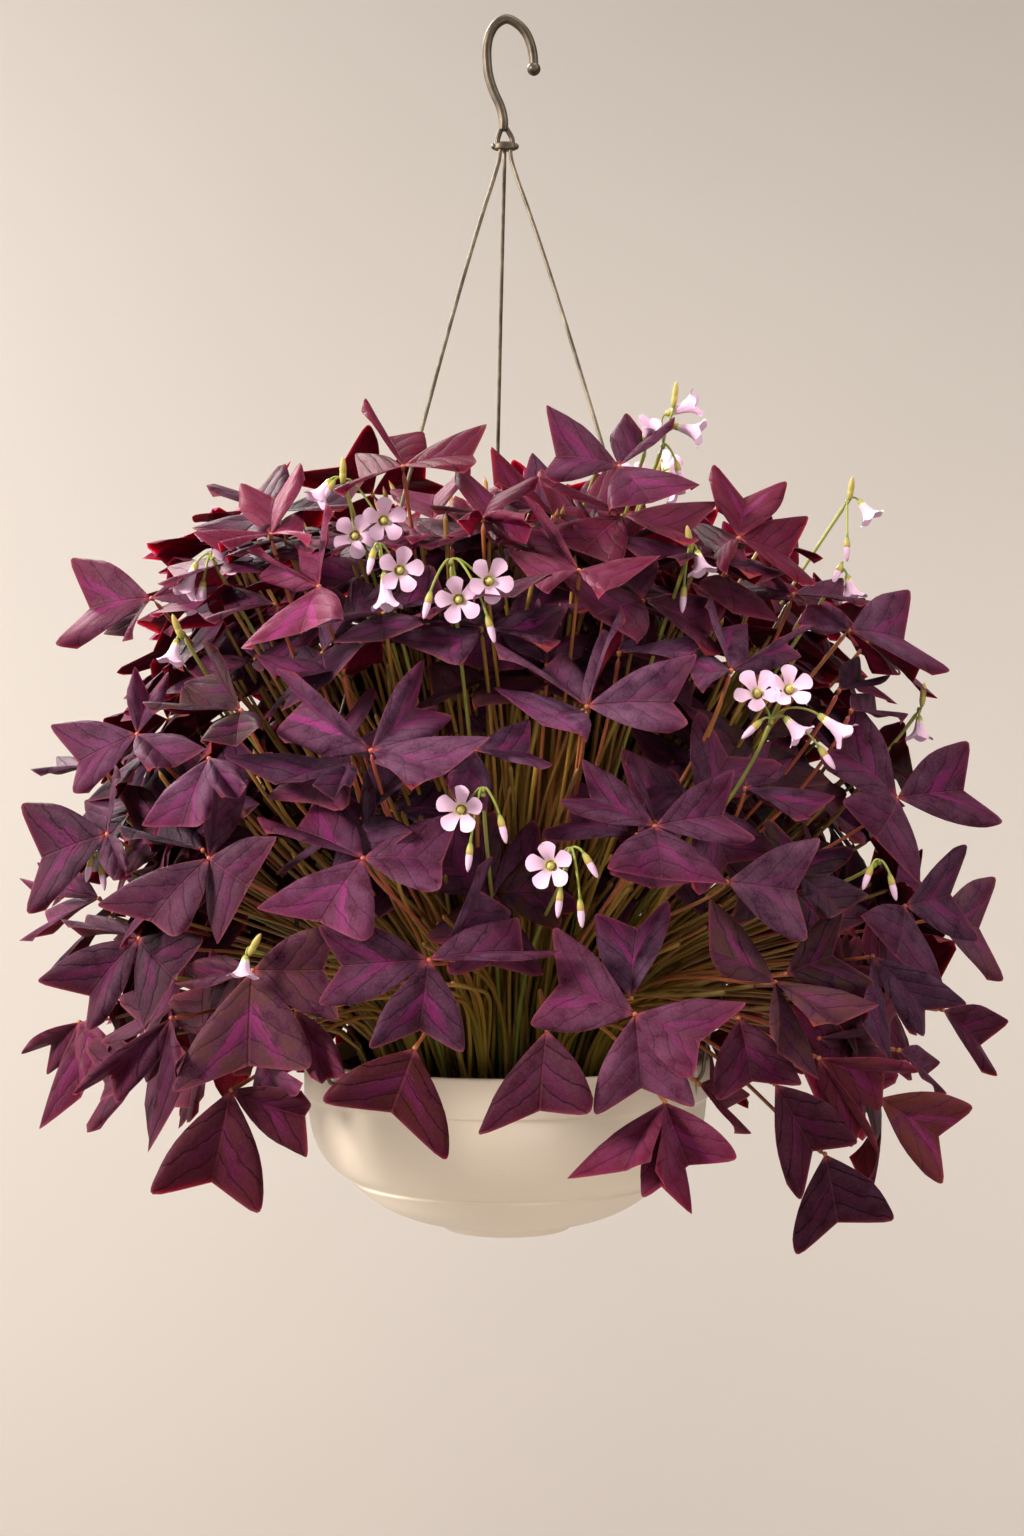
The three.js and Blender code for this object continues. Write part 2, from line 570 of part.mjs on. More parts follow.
// Stalks fan out from the soil: the lower a leaf hangs, the nearer the wall its stalk stands
function baseOf(tip) {
  const out = Math.hypot(tip.x, tip.y);
  const lean = Math.atan2(tip.z - RIM_Z + 40, out) / (Math.PI / 2);
  const radius = BASE_RADIUS * clamp(1.12 * (1 - lean), 0.04, 1);
  return { x: (tip.x / out) * radius, y: (tip.y / out) * radius };
}

// Crowns: neighbours at the base share one, and crowns are eased apart in the soil
function gather(leaves) {
  const free = leaves.map((leaf) => ({ leaf, base: baseOf(leaf.hub) }));
  const outness = (item) => Math.round(10 * Math.hypot(item.base.x, item.base.y));
  const crowns = [];
  while (free.length) {
    free.sort((a, b) => outness(b) - outness(a));
    const { base } = free[0];
    const far = (item) => Math.hypot(item.base.x - base.x, item.base.y - base.y);
    const near = [...free].sort((a, b) => far(a) - far(b)).slice(0, CROWN_SHARE);
    near.forEach((item) => free.splice(free.indexOf(item), 1));
    const mean = (axis) => near.reduce((sum, item) => sum + item.base[axis], 0) / near.length;
    const leaves = near.map((item) => item.leaf);
    crowns.push({ x: mean("x"), y: mean("y"), radius: CROWN_RADIUS, leaves });
  }
  return crowns;
}

function easeApart(crowns) {
  for (let round = 0; round < 60; round++) {
    for (const a of crowns) {
      for (const b of crowns) {
        const gap = Math.hypot(b.x - a.x, b.y - a.y) || 1;
        const want = a.radius + b.radius + 5;
        if (a === b || gap >= want) continue;
        const push = ((want - gap) / gap) * 0.3;
        const dx = (b.x - a.x) * push;
        const dy = (b.y - a.y) * push;
        b.x += dx;
        b.y += dy;
        a.x -= dx;
        a.y -= dy;
      }
      const out = Math.hypot(a.x, a.y);
      if (out > BASE_RADIUS + 8) {
        a.x *= (BASE_RADIUS + 8) / out;
        a.y *= (BASE_RADIUS + 8) / out;
      }
    }
  }
}

// Path of a stalk from its foot to its tip: up from the soil, then out, drooping to a low tip
function stalkPath(foot, tip, face, bend) {
  const out = vec(tip.x, tip.y, 0).normalize();
  const aside = vec(-out.y, out.x, 0);
  const length = foot.distanceTo(tip);
  const high = clamp((tip.z - RIM_Z + 20) / 180, 0, 1);
  const leave = foot.clone().addScaledVector(UP, length * lerp(0.62, 0.4, high));
  leave.addScaledVector(out, length * 0.12).addScaledVector(aside, bend * 0.5);
  const along = out.clone().multiplyScalar(lerp(0.93, 0.55, high));
  along.addScaledVector(UP, lerp(-0.36, 0.83, high));
  if (face) along.addScaledVector(face, 0.8).normalize();
  const arrive = tip.clone().addScaledVector(along, -length * 0.32).addScaledVector(aside, bend);
  return new THREE.CubicBezierCurve3(foot, leave, arrive, tip);
}

// Shortest distance between two straight pieces, by stepping towards it from both sides
function pieceGap(a, b, c, d) {
  const u = b.clone().sub(a);
  const v = d.clone().sub(c);
  const w = a.clone().sub(c);
  const uu = u.dot(u);
  const vv = v.dot(v);
  const uv = u.dot(v);
  let s = clamp((uv * v.dot(w) - vv * u.dot(w)) / Math.max(1e-9, uu * vv - uv * uv), 0, 1);
  const t = clamp((v.dot(w) + s * uv) / vv, 0, 1);
  s = clamp((t * uv - u.dot(w)) / uu, 0, 1);
  return w.addScaledVector(u, s).addScaledVector(v, -t).length();
}

function lineGap(line, other) {
  let least = Infinity;
  for (let i = 0; i + 1 < line.length; i++) {
    for (let j = 0; j + 1 < other.length; j++) {
      least = Math.min(least, pieceGap(line[i], line[i + 1], other[j], other[j + 1]));
    }
  }
  return least;
}

// Stalks are bent aside until they run clear of those already placed
const placed = WIRE_BEARINGS.map((bearing) => ({ owner: bearing, line: wireKnots(bearing, WIRE_TOP) }));
const BENDS = [0, 6, -6, 12, -12, 18, -18, 25, -25, 33, -33, 42, -42, 52, -52, 64, -64];

function clearPath(foot, tip, face, steps, owner, room) {
  let best = null;
  for (const bend of BENDS) {
    const path = stalkPath(foot, tip, face, bend);
    const line = path.getSpacedPoints(steps);
    const gap = placed.reduce((g, s) => (s.owner === owner ? g : Math.min(g, lineGap(line, s.line))), 99);
    if (!best || gap > best.gap + 0.2) best = { path, line, gap };
    if (gap > room) break;
  }
  placed.push({ owner, line: best.line });
  return best.path;
}

// A crown with its leaves, kept as stems and blades until the neighbours have been cleared
function crownParts(crown, index) {
  const stems = [];
  const blades = [];
  const stub = new THREE.CylinderGeometry(CROWN_RADIUS * 0.7, CROWN_RADIUS, 12, 5).rotateX(Math.PI / 2);
  const root = solid(stub.translate(crown.x, crown.y, RIM_Z - SOIL_DROP - 4.5));
  for (const leaf of crown.leaves) {
    const toward = vec(leaf.hub.x - crown.x, leaf.hub.y - crown.y, 0).normalize();
    const foot = vec(crown.x, crown.y, RIM_Z - SOIL_DROP - 4).addScaledVector(toward, 1.3);
    const seat = seatOf(leaf);
    const path = clearPath(foot, seat.spot, leaf.axes.face, 4, index, 2 * STALK_RADIUS + 0.8);
    const made = (grow) => stalk(path, STALK_RADIUS + grow, 4, seat);
    stems.push({ make: made });
    blades.push({ make: (grow) => bladeSolid(leaf, grow), stalk: made(0) });
  }
  return { root, stems, blades };
}

// Flowers

function frame(axis) {
  const side = Math.abs(axis.z) < 0.9 ? UP.clone() : vec(1, 0, 0);
  const u = side.cross(axis).normalize();
  return { axis, u, v: axis.clone().cross(u) };
}

// A closed shape on the seat at spot: a loop of points at [share of the radius, share of the depth]
// and a last point deep in the mouth or at the tip
function cup(spot, { axis, u, v }, loop, last, radius, depth, seatRadius) {
  const points = loop.map(([r, d], i) => {
    const angle = (i / loop.length) * Math.PI * 2;
    const point = spot.clone().addScaledVector(u, r * radius * Math.cos(angle));
    return point.addScaledVector(v, r * radius * Math.sin(angle)).addScaledVector(axis, d * depth);
  });
  const n = loop.length;
  points.push(spot.clone().addScaledVector(axis, last * depth), ...triangle(spot, u, v, seatRadius));
  const ring = loop.map((_, i) => i);
  const angles = ring.map((i) => (i / n) * Math.PI * 2);
  const faces = ring.map((i) => [n, i, (i + 1) % n]);
  for (const [a, b, c] of seatFaces(ring, angles, [n + 1, n + 2, n + 3])) faces.push([a, c, b]);
  faces.push([n + 1, n + 3, n + 2]);
  return solidFrom(points, faces);
}

const PETALS = [0, 1, 2, 3, 4].flatMap(() => [[1, 1], [0.5, 0.8]]);
const BELL = [0, 1, 2, 3, 4].map(() => [1, 1]);
const BUD = [0, 1, 2].map(() => [1, 0.5]);

// Each head is listed by how its joint looks and how its flowers look from the joint:
// o faces out, b is a bud, c hangs as a bell.
function headParts({ joint, facing, items }, foot, owner) {
  const path = clearPath(foot, joint, null, 6, owner, 2.8);
  const stems = [{ make: (grow) => stalk(path, SCAPE_RADIUS + grow, 6) }];
  const bulb = new THREE.CylinderGeometry(SCAPE_ROOT, 1.42 * SCAPE_ROOT, 9, 4).rotateX(Math.PI / 2);
  stems.push({ make: () => solid(bulb.clone().translate(foot.x, foot.y, foot.z + 1)) });
  const knob = (grow) => new THREE.OctahedronGeometry(1.8 + grow).translate(...joint.toArray());
  stems.push({ make: (grow) => solid(knob(grow)) });
  for (const { kind, at } of items) {
    const toward = at.clone().sub(joint).normalize();
    const bell = clamp(0.75 * at.distanceTo(joint), 9, 16);
    const shape = {
      o: { axis: toward.clone().multiplyScalar(0.35).add(facing), back: 6 },
      c: { axis: vec(toward.x, toward.y * 0.4 - 0.1, toward.z - 0.55), back: bell },
      b: { axis: vec(toward.x * 0.5, toward.y * 0.3, toward.z - 0.05), back: 6 },
    }[kind];
    shape.axis.normalize();
    const back = at.clone().addScaledVector(shape.axis, -shape.back);
    const span = joint.distanceTo(back);
    const rise = joint.clone().lerp(back, 0.2).addScaledVector(UP, span * 0.4);
    const arrive = back.clone().addScaledVector(shape.axis, -Math.max(3, span * 0.3));
    const start = joint.clone().add(rise.clone().sub(joint).setLength(0.6));
    const pedicel = new THREE.CubicBezierCurve3(start, rise, arrive, back);
    const axes = frame(shape.axis);
    const seat = { spot: back, u: axes.u, v: axes.v };
    const [loop, last, radius, depth] = {
      o: [PETALS, 0.5, FLOWER_RADIUS, 6],
      c: [BELL, 0.8, 7, bell],
      b: [BUD, 1, 2.2, 12],
    }[kind];
    const thin = (grow) => PEDICEL_RADIUS + grow;
    const star = [0, 2, 4, 1, 3, 0].map((k) => {
      const angle = (k / 5) * Math.PI * 2;
      const tip = back.clone().addScaledVector(shape.axis, depth * 0.8);
      tip.addScaledVector(axes.u, radius * Math.cos(angle));
      return tip.addScaledVector(axes.v, radius * Math.sin(angle));
    });
    placed.push({ owner, line: pedicel.getSpacedPoints(3) }, { owner, line: star });
    stems.push({
      make: (grow) => {
        const seated = back.clone().addScaledVector(axes.axis, -grow);
        const flower = cup(seated, axes, loop, last, radius + 2 * grow, depth + 2 * grow, thin(grow));
        return stalk(pedicel, thin(grow), 3, seat).add(flower);
      },
    });
  }
  return { root: join(stems.map((stem) => stem.make(0))), stems, blades: [] };
}

function frontHead([across, rise, layer, ...items]) {
  const joint = onFront(across, rise, layer);
  return {
    joint,
    facing: vec(0, -1, 0.2),
    items: items.map(([kind, x, z]) => ({ kind, at: seenAt(across + x, rise + z, joint.y - 4) })),
  };
}

function backHead(i) {
  const rise = [285, 235, 180][i % 3];
  const bearing = rad(35 + (110 * (i + 0.5)) / BACK_HEADS);
  const out = vec(Math.cos(bearing), Math.sin(bearing), 0);
  const joint = out.clone().multiplyScalar(domeRadius(rise) * 0.96).setZ(RIM_Z + rise + 12);
  const side = out.clone().cross(UP);
  const items = [["o", -13, 4], ["c", 15, -9], ["b", 3, 9], ["o", 11, 8]].map(([kind, aside, lift]) => {
    const at = joint.clone().addScaledVector(out, 7).addScaledVector(side, aside).addScaledVector(UP, lift);
    return { kind, at };
  });
  return { joint, facing: out.clone().addScaledVector(UP, 0.25), items };
}

// Assembly

const leaves = FRONT_LEAVES.map(frontLeaf);
for (let i = 0; i < BACK_LEAVES; i++) leaves.push(backLeaf(i));
const crowns = gather(leaves);
const heads = FRONT_HEADS.map(frontHead);
for (let i = 0; i < BACK_HEADS; i++) heads.push(backHead(i));
const scapes = heads.map(({ joint }) => ({ ...baseOf(joint), radius: SCAPE_ROOT }));
easeApart([...crowns, ...scapes]);

const blooms = heads.map((head, i) => {
  const foot = vec(scapes[i].x, scapes[i].y, RIM_Z - SOIL_DROP - 5);
  return { name: `flower_head_${i + 1}`, ...headParts(head, foot, `head${i}`) };
});
const clumps = crowns.map((crown, i) => ({ name: `leaf_clump_${i + 1}`, ...crownParts(crown, i) }));
const plants = [...clumps, ...blooms];

for (const plant of plants) {
  plant.stemRoom = join(plant.stems.map((stem) => stem.make(GAP)));
  plant.blades.forEach((blade) => {
    blade.body = blade.make(0);
    blade.room = blade.make(GAP);
  });
}

// Blades give way to every neighbour's stems, to the wires and to the blades set before them
const wireRoom = WIRE_BEARINGS.map((bearing) => hangerWire(bearing, WIRE / 2 + GAP, WIRE_TOP));
plants.forEach((plant, k) => {
  const cleared = plant.blades.map((blade) => {
    const cutters = [...wireRoom];
    plants.forEach((other, j) => {
      if (j !== k) cutters.push(other.stemRoom);
      if (j < k) cutters.push(...other.blades.flatMap((b) => [b.room, b.body]));
    });
    return cutters
      .filter((cutter) => boxesMeet(cutter, blade.body))
      .reduce((left, cutter) => left.subtract(cutter), blade.body)
      .add(blade.stalk);
  });
  plant.body = largest(join([...cleared, plant.root]));
});

const group = new THREE.Group();

function add(name, manifold, color, roughness, metalness) {
  const material = new THREE.MeshStandardMaterial({ color, roughness, metalness });
  const mesh = new THREE.Mesh(geometryOf(manifold), material);
  mesh.name = name;
  group.add(mesh);
}

add("hanger_hook", hangerHook(), "#6b5f52", 0.38, 0.9);
add("hanger_collar", hangerCollar(), "#6b5f52", 0.42, 0.9);
WIRE_BEARINGS.forEach((bearing, i) =>
  add(`hanger_wire_${i + 1}`, hangerWire(bearing, WIRE / 2, WIRE_TOP), "#5f5448", 0.4, 0.85),
);
add("pot", bowl(), "#ddcdb8", 0.45, 0);
add("soil", soil([...crowns, ...scapes]), "#2b1d14", 0.95, 0);
for (const plant of plants) {
  const leafy = plant.blades.length > 0;
  add(plant.name, plant.body, leafy ? "#4b2340" : "#e4c6e2", leafy ? 0.5 : 0.6, 0);
}

export default group;
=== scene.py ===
"""Purple shamrock in a hanging bowl: the looks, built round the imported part.

Lengths are millimetres until a piece is made, which turns them to metres. The layout of leaves,
stalks and flowers follows the part's own rules and named values, so each piece lies where its
solid does.
"""

import math

import bpy
import mathutils
import numpy as np
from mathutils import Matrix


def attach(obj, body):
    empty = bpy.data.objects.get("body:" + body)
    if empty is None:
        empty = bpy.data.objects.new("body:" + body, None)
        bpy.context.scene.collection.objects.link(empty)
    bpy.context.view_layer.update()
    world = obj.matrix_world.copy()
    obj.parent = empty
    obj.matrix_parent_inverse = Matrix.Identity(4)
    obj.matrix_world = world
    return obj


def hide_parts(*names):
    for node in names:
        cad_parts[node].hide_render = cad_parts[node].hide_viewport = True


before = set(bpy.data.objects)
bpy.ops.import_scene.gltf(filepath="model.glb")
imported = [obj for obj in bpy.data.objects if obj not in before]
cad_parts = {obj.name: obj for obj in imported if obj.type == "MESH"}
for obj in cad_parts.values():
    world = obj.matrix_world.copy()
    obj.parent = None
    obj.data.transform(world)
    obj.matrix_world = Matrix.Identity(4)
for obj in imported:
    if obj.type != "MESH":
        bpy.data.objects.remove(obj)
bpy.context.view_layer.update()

# Hanger
HOOK_BAR = 4.7
HOOK_BALL = 6.8
LEG_BAR = 2.6
COLLAR_WIDTH = 11.4
COLLAR_DEPTH = 6.4
COLLAR_TOP = -59.4
COLLAR_HEIGHT = 3.9
COLLAR_X = -1
WIRE = 1.9
WIRE_BEARINGS = [-55, 65, 185]
WIRE_TOP = -61.9

# Bowl, heights measured from its rim
RIM_Z = -515
RIM_RADIUS = 101
BAND_HEIGHT = 19
WALL = 3
HOLE_DROP = 8
SOIL_DROP = 13

# Foliage
LEAFLET = 46
HALF_SPAN = 0.58
HUB_DEPTH = 1.8
DOME_RADIUS = 215
DOME_WAIST = 30
DOME_HEIGHT = 298
DOME_TUCK = 0.35
STALK_RADIUS = 1.2
BACK_LEAVES = 36
TOP_LEAVES = 6
CROWN_SHARE = 4
CROWN_RADIUS = 4
BASE_RADIUS = 72
BASE_LIMIT = 80
CROWN_GAP = 5
STALK_GAP = 0.8
SCAPE_GAP = 2.8

# Stalks: shares of their length and direction, for a low tip and for a high one
STALK_RISE = 0.62, 0.4
STALK_OUT = 0.93, 0.55
STALK_UP = -0.36, 0.83
STALK_LEAN = 0.12
STALK_END = 0.32

# Flowers
SCAPE_RADIUS = 0.85
SCAPE_ROOT = 2.2
PEDICEL_RADIUS = 0.6
FLOWER_RADIUS = 11.5
BACK_HEADS = 3

# The eye that the front of the plant is laid out for
VIEW = 1237
EYE_X = 2.5
EYE_RISE = 143

# A leaf of the front: [across, rise, layer per cent, tilt, turn, corners of each leaflet from the hub].
FRONT_LEAVES = [
    [-178, 228, 100, 20, -30, [-36, 20, -44, -25], [-12, -22, -22, -18], [41, 19, 38, 4]],
    [-118, 260, 100, 60, 0, [-16, 22, 16, 33], [-38, -1, -24, -6], [16, 10, 20, -3]],
    [-52, 294, 100, 45, 0, [-20, 32, 11, 14], [40, 20, 34, -1], [-34, -13, -22, 6]],
    [-12, 268, 90, 50, 0, [-14, 24, 28, 19], [21, 0, 22, -13], [-18, -10, -11, -1]],
    [-28, 257, 75, 60, 0, [-2, 16, 14, 14], [-25, 10, -22, 0]],
    [-94, 234, 100, 30, 0, [6, 40, -9, 19], [-35, 18, -28, 3], [-38, -32, 10, -17]],
    [-116, 225, 90, 30, 0, [-26, 8, -34, -9]],
    [56, 294, 100, 25, 0, [-35, 29, -36, -8], [2, 24, 28, 22], [40, -10, -4, -22]],
    [53, 250, 85, 55, 0, [-20, 29, -8, 20], [14, 22, 24, 16], [40, 14, 34, 4]],
    [36, 242, 100, 45, 0, [-25, 36, -28, 16], [-35, 8, -18, -12], [40, 6, 12, -12]],
    [116, 258, 100, 20, 5, [-14, 35, 24, 26], [32, 10, 36, -25], [-24, 6, -8, -18]],
    [143, 230, 85, 60, 10, [-26, 18, -29, 3], [23, 7, 38, -5]],
    [171, 212, 100, 15, 20, [27, 20, 48, -22], [24, -23, 12, -14], [-14, 14, -26, 4]],
    [-185, 160, 100, 20, -20, [-2, 31, 16, 28], [-41, 5, -29, -30], [34, -7, 8, -17]],
    [-201, 144, 88, 75, -20, [-36, -4, -22, 3]],
    [-133, 172, 100, 35, -10, [-16, 34, -26, 11], [-48, 2, -26, 10], [-20, -16, 10, -10]],
    [-149, 148, 100, 35, -10, [-33, -32, -2, -32], [19, -14, 8, -20]],
    [-200, 110, 100, 15, -20, [-40, 16, -37, -40], [-10, 14, 6, 33], [10, -17, 3, -23]],
    [-68, 152, 100, 30, 0, [24, 44, 39, 14], [58, 5, 24, -18], [-44, 41, -44, 7]],
    [-78, 145, 93, 30, 0, [-62, 4, -30, -10], [-19, -12, -2, -12]],
    [-82, 192, 85, 65, 0, [-42, 7, -30, -4], [20, 15, 14, 2]],
    [-16, 152, 88, 35, 0, [25, 14, 37, -10], [-14, -18, 6, -30]],
    [-72, 98, 100, 15, 0, [-52, 18, -18, 28], [46, 22, 36, -18], [-52, -24, 3, -41]],
    [-70, 102, 94, 15, 0, [-18, 30, 1, 38]],
    [-39, 47, 100, 10, 0, [-52, 18, -52, -23], [40, 20, 64, 2], [-30, -42, 18, -44]],
    [-32, 50, 93, 10, 0, [22, 48, 32, 18]],
    [-127, 42, 100, 10, -10, [38, 22, 41, -25], [-40, -58, 30, -46], [-36, -8, -32, 4]],
    [40, 174, 100, 35, 0, [-46, 30, -10, 24], [7, 34, 18, 48], [52, 25, 47, -12]],
    [38, 172, 95, 35, 0, [-44, 10, 1, -14]],
    [56, 201, 85, 55, 0, [2, 22, 14, 12], [44, 8, 35, -2]],
    [20, 195, 80, 45, 0, [-24, 16, -2, 30], [8, 28, 21, 12]],
    [112, 192, 100, 40, 5, [-11, 36, 8, 20], [40, 23, 32, 6], [-24, 11, -16, -10]],
    [74, 114, 100, 25, 0, [-34, 32, -46, 10], [37, 28, 48, -8], [-24, -22, 36, -29]],
    [74, 116, 93, 25, 0, [-14, 34, 12, 18]],
    [110, 86, 96, 15, 5, [44, 22, 37, -30]],
    [64, 20, 100, 8, 0, [-38, 43, -50, -7], [54, 6, 26, -32], [-21, -48, 30, -44]],
    [62, 28, 95, 8, 0, [-18, 39, 20, 46]],
    [195, 128, 100, 20, 15, [-20, 48, -38, 18], [32, 28, 50, -14], [-28, -2, 11, -43]],
    [172, 172, 88, 50, 10, [9, 8, 28, -3]],
    [166, 182, 85, 40, 10, [8, 16, 25, 6]],
    [119, 133, 85, 30, 5, [43, -4, 30, -16], [10, 22, 22, 12]],
    [-149, 98, 100, 15, -15, [0, 46, 19, 36], [34, 11, 4, -43], [-54, -22, -14, -38]],
    [-152, 102, 93, 25, -15, [-42, 10, -17, 15]],
    [-184, 58, 100, 20, -20, [-48, -20, -22, -46], [32, 0, 2, -44], [-38, 7, -23, 10]],
    [-204, 78, 93, 35, -25, [-38, -22, -24, -6], [-38, 8, -28, 17]],
    [-214, 16, 100, 10, -25, [-28, -14, -14, -25], [-18, -52, 6, -31], [16, -12, 4, -28]],
    [-168, 18, 100, 5, -20, [-48, -36, -24, -40], [-10, -66, 4, -21]],
    [-46, 3, 97, 0, 0, [-46, -24, 17, -54]],
    [-105, 22, 90, 5, 0, [24, -32, 10, -36]],
    [-122, 2, 92, 0, -10, [-5, -34, 19, -20]],
    [-138, -18, 100, 0, -15, [-40, -48, 16, -58], [36, -33, 38, -4]],
    [20, 12, 97, 0, 0, [-34, -50, 23, -39]],
    [79, -24, 100, 0, 0, [-47, -38, -12, -32], [-12, -46, 36, -26], [-2, -40, 12, -54]],
    [96, -15, 92, 0, 5, [24, -25, 23, -4]],
    [116, 18, 93, 5, 5, [-12, -40, 31, -32]],
    [134, 36, 100, 10, 5, [-32, 40, -30, 6], [50, -12, 24, -22], [20, -48, -2, -30]],
    [139, 40, 94, 10, 5, [26, 32, 42, -6]],
    [199, 74, 100, 12, 20, [28, 31, 34, -18], [-21, -6, 21, -46]],
    [214, 68, 92, 12, 25, [28, 21, 32, -32]],
    [183, 49, 93, 10, 15, [45, -22, 22, -39], [8, -52, -4, -26]],
    [218, 22, 95, 5, 25, [30, -4, 24, -33]],
    [196, 2, 88, 5, 15, [18, -5, 22, -22]],
    [186, -22, 98, 0, 15, [44, -2, 28, -42]],
    [156, -2, 97, 0, 10, [48, -4, 27, -25], [30, -46, 14, -41]],
    [134, -15, 97, 0, 10, [10, -56, 40, -26]],
    [159, -50, 100, 0, 10, [-16, -48, 34, -30]],
    [156, 8, 88, 10, 10, [26, 2, 22, -7]],
    [146, 90, 82, 20, 5, [14, -22, 34, -10]],
]

# A flower head of the front: [across, rise, layer, then each flower's kind and place from the joint].
# o faces out, b is a bud, c hangs as a bell.
FRONT_HEADS = [
    [-82, 286, 100, ["o", 6, -27], ["o", 21, -19], ["b", 0, 6], ["b", -8, -5], ["c", -14, -10]],
    [-64, 254, 100, ["o", 11, -12], ["c", 4, -32], ["b", -4, -8]],
    [-28, 246, 106, ["o", 4, -19], ["o", 20, -9], ["b", 20, -34], ["b", -12, -22]],
    [-148, 249, 100, ["o", 12, 1], ["c", -14, -20], ["c", -6, -30], ["b", 5, 4]],
    [-162, 210, 100, ["c", -6, -15], ["b", -3, 4]],
    [78, 304, 100, ["c", 20, 6], ["c", 18, 22], ["b", 8, -14], ["b", 6, 26]],
    [70, 304, 100, ["c", 2, 12]],
    [92, 254, 100, ["c", 6, -14], ["b", -4, -27], ["b", -1, 4]],
    [170, 276, 100, ["c", 13, -9], ["b", 0, -24], ["b", 2, 7]],
    [167, 242, 100, ["c", 6, -15], ["b", -2, -2]],
    [206, 172, 100, ["c", 0, -15], ["b", 2, 8]],
    [132, 166, 105, ["o", -7, 16], ["o", 10, 18], ["c", 16, -8], ["c", 39, -8], ["b", -10, -4],
     ["b", 28, -18]],
    [-12, 132, 100, ["o", -12, -10], ["b", -7, -34], ["b", 10, -20]],
    [32, 102, 100, ["o", -11, -8], ["b", -6, -27], ["b", 5, -32], ["b", 10, -8]],
    [-205, 100, 100, ["b", -4, -8], ["b", 3, -12]],
    [-129, 52, 105, ["c", -3, -14], ["b", 3, 3]],
    [186, 96, 100, ["b", -6, -8], ["b", 7, -13]],
]

UP = np.array([0.0, 0.0, 1.0])


def vec(x, y, z):
    return np.array([x, y, z], dtype=float)


def polar(radius, bearing, height):
    """Points from their distance and bearing about the upright axis, and their height."""
    return np.stack([radius * np.cos(bearing), radius * np.sin(bearing), height + 0 * radius], axis=-1)


def unit(v):
    return v / np.linalg.norm(v, axis=-1, keepdims=True)


def lerp(a, b, t):
    return a + (b - a) * t


def seeded(seed):
    """Draws between two limits from a 32-bit congruential row, the one that the part uses."""
    state = [seed]

    def draw(low, high):
        state[0] = (state[0] * 1664525 + 1013904223) % 2**32
        return low + (high - low) * state[0] / 2**32

    return draw


# Where the leaves and flowers are


def dome_radius(rise):
    """Radius of the dome of leaves at heights above the rim."""
    share = np.clip((rise - DOME_WAIST) / DOME_HEIGHT, 0, 1)
    return DOME_RADIUS * np.sqrt(1 - share**3) - DOME_TUCK * np.maximum(0, DOME_WAIST - rise)


def seen_at(across, rise, y):
    """The point at depth y that looks [across, rise] to the eye."""
    scale = (y + VIEW) / VIEW
    return vec(EYE_X + (across - EYE_X) * scale, y, RIM_Z + EYE_RISE + (rise - EYE_RISE) * scale)


def on_front(across, rise, layer):
    """The point of the dome's front, shrunk to layer per cent, that looks [across, rise]."""
    point = seen_at(across, rise, 0)
    for _ in range(12):
        reach = dome_radius(point[2] - RIM_Z) ** 2 - point[0] ** 2
        y = -layer / 100 * math.sqrt(max(0, reach))
        point = seen_at(across, rise, (point[1] + y) / 2)
    return point


def leaf_axes(tilt, turn):
    """Face, right and above of leaves that face up by tilt, turned about the upright by turn."""
    face = np.stack([np.sin(turn) * np.cos(tilt), -np.cos(turn) * np.cos(tilt), np.sin(tilt)], -1)
    right = np.stack([np.cos(turn), np.sin(turn), 0 * turn], -1)
    return face, right, np.cross(face, right)


def front_leaf(row):
    """Hub, axes and leaflet corners of a listed leaf; its plane and length give their depth."""
    across, rise, layer, tilt, turn, *seen = row
    hub = on_front(across, rise, layer)
    axes = leaf_axes(math.radians(tilt), math.radians(turn))
    scale = (hub[1] + VIEW) / VIEW

    def corner(x, z):
        flat = math.hypot(x, z) * scale
        slope = -(axes[0][0] * x + axes[0][2] * z) / axes[0][1] * scale
        reach = np.clip(math.hypot(flat, slope), 0.86 * LEAFLET, 1.08 * LEAFLET)
        depth = math.copysign(math.sqrt(max(0, reach**2 - flat**2)), slope or -1)
        return seen_at(across + x, rise + z, hub[1] + depth)

    leaflets = np.array([[corner(x1, z1), corner(x2, z2)] for x1, z1, x2, z2 in seen])
    return {"hub": hub, "axes": axes, "leaflets": leaflets}


def corners(hub, axes, bearing, droop, fold, size):
    """Two corners of each leaflet from its rib's bearing in the leaf's plane, its droop and its fold."""
    bearing, droop, fold, size = (np.asarray(x)[..., None] for x in (bearing, droop, fold, size))
    face, right, above = axes
    rib = right * np.cos(bearing) + above * np.sin(bearing)
    side = above * np.cos(bearing) - right * np.sin(bearing)
    up = face * np.cos(droop) + rib * np.sin(droop)
    out = rib * np.cos(droop) - face * np.sin(droop)
    middle = hub + out * 0.8 * size + up * HALF_SPAN * size * np.sin(fold)
    half = side * HALF_SPAN * size * np.cos(fold)
    return np.stack([middle + half, middle - half], axis=-2)


